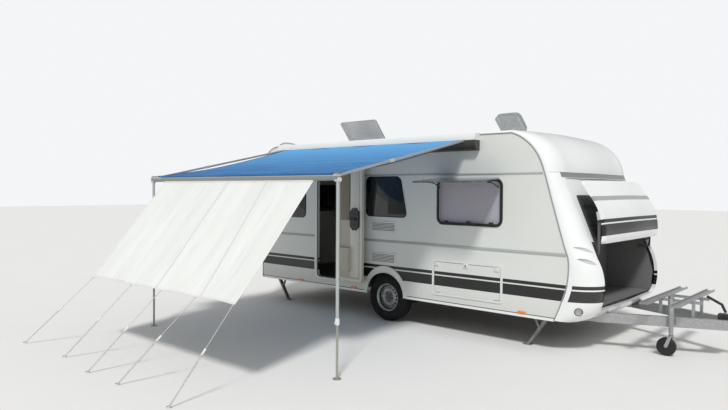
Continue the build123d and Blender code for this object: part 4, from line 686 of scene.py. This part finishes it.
MAIN_WINDOW = (0.874, 1.768, 1.390, 1.926, 0.0)
MIDDLE_WINDOW = (-0.332, 0.351, 1.455, 1.962, 0.115)
REAR_WINDOW = (-2.290, -1.620, 1.392, 1.926, 0.0)
LEFT_WINDOWS = (MAIN_WINDOW, (-0.332, 0.351, 1.455, 1.962, 0.0), (-2.290, -1.400, 1.392, 1.926, 0.0))
SIDE_WINDOWS = [(-1, MIDDLE_WINDOW), (-1, REAR_WINDOW)] + [(1, window) for window in LEFT_WINDOWS]
tinted = mottled("tinted_acrylic", (0.010, 0.011, 0.012), (0.026, 0.027, 0.028), 0.08, 2.5, (0.4, 0.75),
                 Coat_Weight=0.4, Coat_Roughness=0.04)
drive(tinted, Roughness=patchy(tinted, 8, 0.06, 0.16))
rubber = finish("black_rubber", (0.014, 0.014, 0.014), 0.62)
drive(rubber, Roughness=patchy(rubber, 90, 0.52, 0.72))
PANE_R, PANE_DEEP, SEAL_R, SEAL_DEEP, SEAL_WIDE = 0.072, 0.012, 0.078, 0.007, 0.016
glass_bm, seal_bm = bmesh.new(), bmesh.new()
for side, window in SIDE_WINDOWS:
    outward, pane, seal = Vector((0, side, 0)), (0.004, 0.016), (0.0, 0.024)
    add_plate(glass_bm, wall_corners(*window, side, *pane), PANE_R, outward * PANE_DEEP, 0.005)
    seal_corners = wall_corners(*window, side, *seal)
    add_plate(seal_bm, seal_corners, SEAL_R, outward * SEAL_DEEP, 0.002, SEAL_WIDE)

REAR_GLASS, FRONT_GLASS = (0.568, 1.392, 1.908), (0.815, 1.246, 1.756)
NOSE_FOOT, NOSE_HEAD = Vector((2.822, 0, 1.060)), Vector((2.440, 0, 2.000))
back_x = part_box("rear_wall")[0].x + 0.012
slant = (NOSE_HEAD - NOSE_FOOT).normalized()
slant_out = Vector((slant.z, 0, -slant.x))


def on_rear(y, z, out):
    """A place on the rear wall, a distance proud of it."""
    return Vector((back_x - out, CENTRE_Y + y, z))


def on_slant(y, z, out):
    """A place on the slanted front wall, a distance proud of the shell's own slope."""
    point = NOSE_FOOT.lerp(NOSE_HEAD, (z - NOSE_FOOT.z) / (NOSE_HEAD.z - NOSE_FOOT.z))
    return spot(point.x, y, z) + slant_out * out


def end_corners(place, window, out, grow):
    """Four corners of a window on an end wall, grown all round by a margin."""
    half, low, top = window
    half, low, top = half + grow, low - grow, top + grow
    return [place(y, z, out) for y, z in ((-half, low), (half, low), (half, top), (-half, top))]


add_plate(glass_bm, end_corners(on_rear, REAR_GLASS, 0.004, 0.0), 0.07, Vector((-0.014, 0, 0)), 0.005)
rear_seal = end_corners(on_rear, REAR_GLASS, 0.0, 0.010)
add_plate(seal_bm, rear_seal, SEAL_R, Vector((-0.008, 0, 0)), 0.002, SEAL_WIDE)
front_bm = bmesh.new()
add_plate(front_bm, end_corners(on_slant, FRONT_GLASS, -0.004, -0.004), 0.02, slant_out * 0.012, 0.004)
add_plate(seal_bm, end_corners(on_slant, FRONT_GLASS, -0.010, 0.002), 0.022, slant_out * 0.008, 0.002, 0.008)
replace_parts(show("closed_panes", glass_bm, tinted), "windows")
show("window_seals", seal_bm, rubber)
front_tint = mottled("front_acrylic", (0.026, 0.028, 0.030), (0.060, 0.064, 0.066), 0.22, 3, (0.35, 0.75),
                     Coat_Weight=0.3, Coat_Roughness=0.12)
show("front_pane", front_bm, front_tint)

# Main window
# A black plastic frame round a lavender-grey pleated blind, drawn down behind the opening. Its smoked
# pane hangs from the top edge and is held out by a stay at each side.
dress(rubber, "main_window_frame")
pleats = finish("pleated_blind", (0.46, 0.46, 0.50), 0.85)
pleat_z = pattern(pleats, "TexWave", 12.0, bands_direction="Z")
# painted shade darkens every other band of the pleats, on the same wave as their bump
drive(pleats, Base_Color=blend(pleats, pleat_z, (0.44, 0.43, 0.48), (0.40, 0.39, 0.44)),
      Normal=relief(pleats, pleat_z, 0.001, 0.3))
dress(pleats, "blind")
smoked = mottled("smoked_pane", (0.10, 0.11, 0.12), (0.20, 0.22, 0.24), 0.08, 3, (0.3, 0.7),
                 Alpha=0.72, Coat_Weight=0.3)
dress(smoked, "main_window_pane")
pane_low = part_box("main_window_pane")[0]
STAY_XS, CATCH_XS, STAY_R, FRAME_Y = (0.905, 1.737), (1.00, 1.32, 1.64), 0.007, -1.160
bm = bmesh.new()
for x in STAY_XS:
    foot, head = spot(x, FRAME_Y, 1.84), Vector((AXLE_X + x, pane_low.y + 0.38, pane_low.z + 0.012))
    add_rod(bm, [foot, foot.lerp(head, 0.5) + Vector((0, -0.01, 0.01)), head], STAY_R, 8)
    add_block(bm, head + Vector((-0.02, -0.03, -0.012)), head + Vector((0.02, 0.03, 0.004)), 0.003)
CATCH_HALF = Vector((0.030, 0.006, 0.012))
for x in CATCH_XS:
    catch = spot(x, FRAME_Y, 1.412)
    add_block(bm, catch - CATCH_HALF, catch + CATCH_HALF, 0.004)
stay_finish = finish("stay_plastic", (0.025, 0.025, 0.026), 0.4)
drive(stay_finish, Roughness=patchy(stay_finish, 80, 0.32, 0.5))
show("window_stays", bm, stay_finish)

# Rooflights
# Clear acrylic hoods, pressed to shape, on white frames. Each hinges at its left edge and is held open
# by two white plastic struts.
hood = mottled("clear_hood", (0.22, 0.26, 0.28), (0.34, 0.38, 0.41), 0.08, 5, (0.3, 0.7),
               Alpha=0.46, Coat_Weight=0.3)
dress(hood, "rooflight_lid_front", "rooflight_lid_rear")
strut_finish = mottled("white_strut", (0.80, 0.80, 0.78), (0.86, 0.86, 0.84), 0.4, 30)
# the middle of each hood, its length and width, and how far it stands open, in degrees
ROOFLIGHTS = {"rear": (-1.180, -0.400, 0.760, 0.400, 50), "front": (1.310, -0.150, 0.380, 0.360, 40)}
HOOD_HINGE_Z, STRUT_INSET, STRUT_R, STRUT_END = 2.568, 0.045, 0.007, Vector((0.010, 0.010, 0.010))
for which, (mid_x, mid_y, long, wide, opened) in ROOFLIGHTS.items():
    hinge, turn = spot(mid_x, mid_y + wide / 2, HOOD_HINGE_Z), math.radians(opened)
    up = Vector((0, -math.cos(turn), math.sin(turn)))
    inward = Vector((0, math.sin(turn), math.cos(turn)))
    bm = bmesh.new()
    for side in (-1, 1):
        beside = hinge + Vector((side * (long / 2 - STRUT_INSET), 0, 0))
        knee = beside + up * 0.055 + inward * 0.020
        add_rod(bm, [knee, beside + up * wide * 0.84 + inward * 0.018], STRUT_R, 8)
        add_block(bm, knee - STRUT_END, knee + STRUT_END, 0.004)
    show(f"rooflight_struts_{which}", bm, strut_finish, f"rooflight_{which}")

# Entrance door
# A moulded leaf, warm beige inside and white outside, with a cream border glued on, a raised strip
# behind the black lock plate, a pleated blind and a bin. A black rubber seal runs round the opening.
DOOR_HINGE, DOOR_OPEN, LEAF_WIDE, LEAF_FACE = spot(-0.811, -1.177, 0), math.radians(174), 0.513, 0.057
# the white of the outer face begins this far out from the hinge's axis
DOOR_OPENING, OUTER_SKIN = (-1.330, -0.806, 0.500, 2.240, 0.0), (0.030, 0.026)
leaf_run = Vector((-math.cos(DOOR_OPEN), -math.sin(DOOR_OPEN), 0))
leaf_out = Vector((-math.sin(DOOR_OPEN), math.cos(DOOR_OPEN), 0))
leaf = finish("door_skin", (0.60, 0.57, 0.48), 0.45)
leaf_depth = {0: wire(leaf, "TexCoord", out="Object"), 1: leaf_out}
leaf_depth = wire(leaf, "VectorMath", leaf_depth, out=1, operation="DOT_PRODUCT")
outside = spread(leaf, leaf_depth, *(DOOR_HINGE.dot(leaf_out) + out for out in OUTER_SKIN))
inner_colour = blend(leaf, grain(leaf, 2.5), (0.50, 0.47, 0.38), (0.58, 0.55, 0.45))
outer_colour = blend(leaf, grain(leaf, 0.9), (0.73, 0.75, 0.71), (0.69, 0.71, 0.67))
outer_colour = striped(leaf, outer_colour, xyz(leaf, 2))
drive(leaf, Base_Color=blend(leaf, outside, inner_colour, outer_colour),
      Normal=relief(leaf, grain(leaf, 300), 0.0003, 0.3))
dress(leaf, "door_leaf")
dress(tinted, "door_window")
handle_black = finish("handle_plastic", (0.018, 0.018, 0.020), 0.34)
drive(handle_black, Roughness=patchy(handle_black, 90, 0.28, 0.44))
dress(handle_black, "door_fittings")
show("hatch_lock", lock_bm, handle_black, "service_hatch")


def door_point(run, z, out):
    """A place on the open leaf: run from the hinge, height, and distance out of its inner face."""
    return DOOR_HINGE + leaf_run * run + leaf_out * (LEAF_FACE + out) + Vector((0, 0, z))


def add_panel(bm, near, far, low, top, thick, radius, margin=0.0):
    """A rounded panel let 1 mm into the leaf's inner face, or a border of that margin."""
    places = ((near, low), (far, low), (far, top), (near, top))
    corners = [door_point(run, z, -0.001) for run, z in places]
    add_plate(bm, corners, radius, leaf_out * thick, min(0.003, thick * 0.4), margin)


cream = mottled("cream_border", (0.72, 0.70, 0.61), (0.78, 0.76, 0.67), 0.4, 3)
bm = bmesh.new()
add_panel(bm, 0.003, LEAF_WIDE - 0.003, 0.510, 2.230, 0.010, 0.055, 0.040)
add_panel(bm, 0.266, 0.446, 0.570, 2.170, 0.007, 0.030)
show("door_border", bm, cream, "entrance_door")
blind_cloth = finish("door_blind", (0.30, 0.27, 0.20), 0.85)
folds = pattern(blind_cloth, "TexWave", 14.0, bands_direction="Z")
# painted shade darkens the blind's folds, on the same wave as their bump
drive(blind_cloth, Base_Color=blend(blind_cloth, folds, (0.33, 0.29, 0.22), (0.26, 0.23, 0.17)),
      Normal=relief(blind_cloth, folds, 0.003, 0.5))
bm = bmesh.new()
add_panel(bm, 0.062, 0.250, 1.370, 2.160, 0.012, 0.020)
show("door_blind", bm, blind_cloth, "entrance_door")
LEVER, ROSETTE_RUN, ROSETTE_R = ((0.300, 1.375, 0.030), (0.412, 1.408, 0.052)), 0.371, 0.020
bm = bmesh.new()
for z in (1.315, 1.465):
    add_rod(bm, [door_point(ROSETTE_RUN, z, out) for out in (0.028, 0.034)], ROSETTE_R, 20)
lever_ends = [door_point(*place) for place in LEVER]
low, high = (Vector(map(pick, *lever_ends)) for pick in (min, max))
add_block(bm, low, high, 0.008, 3)
show("door_lever", bm, handle_black, "entrance_door")
bm = bmesh.new()
add_plate(bm, wall_corners(*DOOR_OPENING, -1, 0.004, 0.010), 0.066, Vector((0, -0.010, 0)), 0.003, 0.012)
show("door_seal", bm, rubber)

# Markers and lamps
# Lenses of moulded plastic, screwed on: orange markers on the sides, red lamps in the rear bumper, and
# two round clear lamps in the nose, each bedded in a black rubber ring.
marker = finish("orange_marker", (0.85, 0.25, 0.02), 0.2, Coat_Weight=0.5)
prisms = pattern(marker, "TexChecker", 90.0)
drive(marker, Base_Color=blend(marker, prisms, (0.90, 0.28, 0.02), (0.72, 0.18, 0.01)))
dress(marker, "side_markers")
red_lens = finish("red_lens", (0.45, 0.012, 0.012), 0.15, Coat_Weight=0.6)
red_ribs = pattern(red_lens, "TexWave", 40.0, bands_direction="Y")
drive(red_lens, Base_Color=blend(red_lens, red_ribs, (0.50, 0.015, 0.012), (0.34, 0.008, 0.008)))
dress(red_lens, "tail_lamps")
clear_lens = finish("clear_lens", (0.60, 0.62, 0.62), 0.12, Coat_Weight=0.6, Metallic=0.2)
clear_ribs = pattern(clear_lens, "TexWave", 60.0)
drive(clear_lens, Base_Color=blend(clear_lens, clear_ribs, (0.66, 0.68, 0.68), (0.38, 0.39, 0.40)))
dress(clear_lens, "front_lamps")

LAMP_R, LAMP_SEAL_R, LAMP_FACING = 0.043, 0.004, Vector((0.49, 0.82, -0.31)).normalized()
bm = bmesh.new()
for side in (-1, 1):
    facing = Vector((LAMP_FACING.x, side * LAMP_FACING.y, LAMP_FACING.z))
    lamp = spot(2.693, side * 1.092, 0.488) + facing * 0.003
    flat_x = facing.cross(Vector((0, 0, 1))).normalized()
    flat_z = facing.cross(flat_x)
    turns = [2 * math.pi * n / 32 for n in range(33)]
    ring = [lamp + (flat_x * math.cos(turn) + flat_z * math.sin(turn)) * LAMP_R for turn in turns]
    add_rod(bm, ring, LAMP_SEAL_R, 6)
show("lamp_seals", bm, rubber)

# Locker, lid and its linkage
# A moulded grey liner with the gas locker's floor, drawn dark as painted shade inside the locker, under a
# white plastic lid of the nose's own shape.
# The lid hangs on two bent arms and two links of dark pressed steel that turn on pins.
# painted shade: the liner is drawn far darker than its own grey
liner = finish("locker_liner_and_shade", (0.16, 0.16, 0.16), 0.6)
specks = pattern(liner, "TexVoronoi", 120.0, 0)
drive(liner, Base_Color=blend(liner, specks, (0.12, 0.12, 0.12), (0.20, 0.20, 0.195)),
      Normal=relief(liner, grain(liner, 60), 0.001, 0.3))
dress(liner, "gas_locker")
# the lid stands open here, so its paint is laid out by where each point is when it is shut
LID_TURN, OPEN_PIN, SHUT_PIN = math.radians(11.3), spot(2.798, 0, 1.537), spot(2.830, 0, 0.825)
lid = finish("lid_gelcoat", (0.86, 0.87, 0.85), 0.3, Coat_Weight=0.08, Coat_Roughness=0.1)
from_pin = {"Vector": wire(lid, "TexCoord", out="Object"), "Location": -OPEN_PIN}
shut = {"Vector": wire(lid, "Mapping", from_pin), "Rotation": (0, LID_TURN, 0), "Location": SHUT_PIN}
shut_z = wire(lid, "SeparateXYZ", {0: wire(lid, "Mapping", shut)}, out=2)
lid_clouds = spread(lid, grain(lid, 1.5), 0.35, 0.7)
lid_colour = blend(lid, lid_clouds, (0.87, 0.88, 0.87), (0.83, 0.84, 0.83))
lid_colour = blend(lid, within(lid, shut_z, 0.985, 1.040), lid_colour, (0.36, 0.38, 0.37))
drive(lid, Base_Color=striped(lid, lid_colour, shut_z))
dress(lid, "locker_lid")
dark_steel = finish("dark_steel", (0.16, 0.16, 0.16), 0.4, Metallic=0.8)
drive(dark_steel, Roughness=patchy(dark_steel, 60, 0.32, 0.5))
dress(dark_steel, "lid_arms", "lid_links")

# Wheels
# Steel-belted tyres with four grooves and cut shoulder blocks, on rims pressed from steel sheet and
# painted silver, with a ring of round holes, a domed centre and five bolts.
tread = finish("tyre_rubber", (0.012, 0.012, 0.012), 0.85, Specular_IOR_Level=0.3)
scuff = spread(tread, grain(tread, 14), 0.45, 0.8, 0.0, 0.6)
drive(tread, Base_Color=blend(tread, scuff, (0.011, 0.011, 0.011), (0.042, 0.040, 0.035)),
      Normal=relief(tread, grain(tread, 180), 0.0006, 0.5))
# half of the tyre's section, from the middle of the tread, as distance to the side and radius
HALF_TYRE = ((0.0, 0.3245), (0.006, 0.3245), (0.007, 0.3165), (0.013, 0.3165), (0.014, 0.324),
             (0.036, 0.3225), (0.037, 0.315), (0.043, 0.3145), (0.044, 0.321), (0.074, 0.3165),
             (0.083, 0.306), (0.0895, 0.285), (0.0922, 0.255), (0.09, 0.228), (0.084, 0.206),
             (0.076, 0.192), (0.068, 0.186), (0.066, 0.179))
SHOULDER_IN, SHOULDER_OUT, SHOULDER_R, TREAD_BLOCKS = 0.045, 0.083, 0.305, 60
hubs = {"right": (right_low + right_high) / 2, "left": (left_low + left_high) / 2}
section = [(-w, r) for w, r in reversed(HALF_TYRE[1:])] + list(HALF_TYRE)
for which, hub in hubs.items():
    bm = bmesh.new()
    verts = [bm.verts.new(hub + Vector((0, w, r))) for w, r in section]
    turning = verts + [bm.edges.new(pair) for pair in zip(verts, verts[1:])]
    bmesh.ops.spin(bm, geom=turning, cent=hub, axis=(0, 1, 0), angle=2 * math.pi, steps=120, use_merge=True)
    bmesh.ops.recalc_face_normals(bm, faces=bm.faces[:])
    shoulder = []
    for face in bm.faces:
        middle = face.calc_center_median() - hub
        block = math.atan2(middle.x, middle.z) / (2 * math.pi) * TREAD_BLOCKS
        at_side = SHOULDER_IN < abs(middle.y) < SHOULDER_OUT
        if at_side and math.hypot(middle.x, middle.z) > SHOULDER_R and block % 1 < 0.5:
            shoulder.append(face)
    bmesh.ops.inset_individual(bm, faces=shoulder, thickness=0.0012, depth=-0.005)
    tyre = show(f"tyre_tread_{which}", bm, tread, f"wheel_{which}", 50)
    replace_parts(tyre, f"tyre_{which}")
silver = finish("silver_wheel", (0.40, 0.41, 0.41), 0.38, Metallic=0.35)
brake_dust = spread(silver, grain(silver, 18, detail=5), 0.35, 0.75)
hub_x = calc(silver, "SUBTRACT", xyz(silver, 0), AXLE_X)
hub_z = calc(silver, "SUBTRACT", xyz(silver, 2), hubs["right"].z)
from_hub = wire(silver, "CombineXYZ", {0: hub_x, 2: hub_z})
from_hub = wire(silver, "VectorMath", {0: from_hub}, out=1, operation="LENGTH")
paint = blend(silver, brake_dust, (0.44, 0.45, 0.45), (0.27, 0.26, 0.25))
paint = blend(silver, spread(silver, from_hub, 0.082, 0.068), paint, (0.13, 0.13, 0.125))
# painted shade: a dark ring in the groove where the disc meets the barrel
paint = blend(silver, within(silver, from_hub, 0.1555, 0.1660), paint, (0.05, 0.05, 0.05))
drive(silver, Base_Color=paint)
bolt_finish = mottled("wheel_bolt", (0.24, 0.24, 0.24), (0.40, 0.40, 0.39), 0.4, 90, Metallic=0.6)
# rows of a pressed ring, as distance out from the wheel's middle and radius
BARREL = ((-0.0705, 0.187), (-0.0665, 0.183), (-0.063, 0.176), (-0.048, 0.172), (-0.028, 0.16),
          (0.02, 0.159), (0.044, 0.169), (0.061, 0.172), (0.066, 0.179), (0.0695, 0.1835),
          (0.0735, 0.1875), (0.074, 0.1895))
DISC = ((0.012, 0.1592), (0.02, 0.1575), (0.0265, 0.154), (0.0305, 0.142), (0.0345, 0.13),
        (0.0385, 0.118), (0.0425, 0.106), (0.046, 0.096), (0.047, 0.087), (0.043, 0.078),
        (0.032, 0.072), (0.0265, 0.065), (0.0255, 0.046), (0.026, 0.032), (0.03, 0.0305),
        (0.046, 0.029), (0.05, 0.024), (0.051, 0.012), (0.0512, 0.0))
RIM_CELLS, HOLE_ROW, HOLE_R, SHEET = 16, 4, 0.0135, 0.003
BOLTS, BOLT_CIRCLE_R, BOLT_R, DRUM_R = 5, 0.054, 0.0105, 0.119


def add_ring(bm, hub, side, rows, hole_row=None):
    """A pressed ring of the wheel, with a round hole in each cell where its rows have one."""
    part, columns = bmesh.new(), RIM_CELLS * 4
    bmesh.ops.create_grid(part, x_segments=columns, y_segments=len(rows) - 1, size=0.5)
    centres = []
    for vert in part.verts:
        column, row = round((vert.co.x + 0.5) * columns), round((0.5 - vert.co.y) * (len(rows) - 1))
        out, radius = rows[row]
        turn = 2 * math.pi * column / columns
        if hole_row is not None and abs(row - hole_row) <= 1 and column % 4:
            run, rise = column % 4 - 2, hole_row - row
            if run == rise == 0:
                centres.append(vert)
            else:
                clock = math.atan2(rise, run)
                radius = rows[hole_row][1] + HOLE_R * math.sin(clock)
                turn += (HOLE_R * math.cos(clock) / radius) - 2 * math.pi * run / columns
        vert.co = hub + Vector((radius * math.cos(turn), side * out, radius * math.sin(turn)))
    bmesh.ops.delete(part, geom=centres, context="VERTS")
    bmesh.ops.remove_doubles(part, verts=part.verts[:], dist=1e-5)
    bmesh.ops.recalc_face_normals(part, faces=part.faces[:])
    join(bm, part)


drum_bm = bmesh.new()
for (which, hub), side in zip(hubs.items(), (-1, 1)):
    bm, bolts = bmesh.new(), bmesh.new()
    add_ring(bm, hub, side, BARREL)
    add_ring(bm, hub, side, DISC, HOLE_ROW)
    rim = show(f"pressed_rim_{which}", bm, silver, f"wheel_{which}", 180)
    rim.modifiers.new("sheet", "SOLIDIFY").thickness = SHEET
    rounding = rim.modifiers.new("rounding", "SUBSURF")
    rounding.levels = rounding.render_levels = 1
    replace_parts(rim, f"rim_{which}")
    for n in range(BOLTS):
        angle = 2 * math.pi * (n + 0.25) / BOLTS
        head = hub + Vector((BOLT_CIRCLE_R * math.cos(angle), side * 0.024, BOLT_CIRCLE_R * math.sin(angle)))
        add_rod(bolts, [head, head + Vector((0, side * 0.014, 0))], BOLT_R, 6)
    show(f"wheel_bolts_{which}", bolts, bolt_finish, f"wheel_{which}")
    add_rod(drum_bm, [hub + Vector((0, side * out, 0)) for out in (-0.060, 0.006)], DRUM_R, 48)
drum_iron = mottled("drum_iron", (0.022, 0.019, 0.018), (0.050, 0.040, 0.034), 0.7, 40)
show("brake_drums", drum_bm, drum_iron)

# Running gear, drawbar and steadies
# Pressed and welded steel, dipped in zinc or painted black, and bolted under the floor. The jockey
# wheel is of solid rubber, and the cycle carrier is bent from aluminium tube.
black_paint = mottled("black_paint", (0.018, 0.018, 0.018), (0.06, 0.055, 0.05), 0.5, 20, (0.4, 0.8))
dress(black_paint, "axle", "coupling", "handbrake_lever")
aged_zinc = mottled("aged_zinc", (0.20, 0.20, 0.195), (0.34, 0.34, 0.33), 0.5, 30, (0.3, 0.7), Metallic=0.4)
dress(aged_zinc, "steady_mounts")
for corner in ("front_left", "front_right", "rear_left", "rear_right"):
    dress(aged_zinc, f"steady_leg_{corner}", f"steady_brace_{corner}")
dress(steel, "chassis", "jockey_tube", "jockey_leg", "jockey_fork")
dress(rubber, "jockey_wheel")
dress(anodised, "cycle_carrier")

# Inside
# Cabinets of pale wood-grain board, cut from sheet and screwed to the walls, on a floor of plywood.
# They are seen through the door and the windows.
wood = mottled("pale_wood", (0.34, 0.235, 0.14), (0.50, 0.37, 0.25), 0.5, 6, stretch=(1, 1, 0.08), detail=6)
dress(wood, "cabinets")
plywood = mottled("floor_ply", (0.08, 0.07, 0.06), (0.15, 0.13, 0.10), 0.7, 4, stretch=(0.2, 1, 1), detail=5)
dress(plywood, "floor")
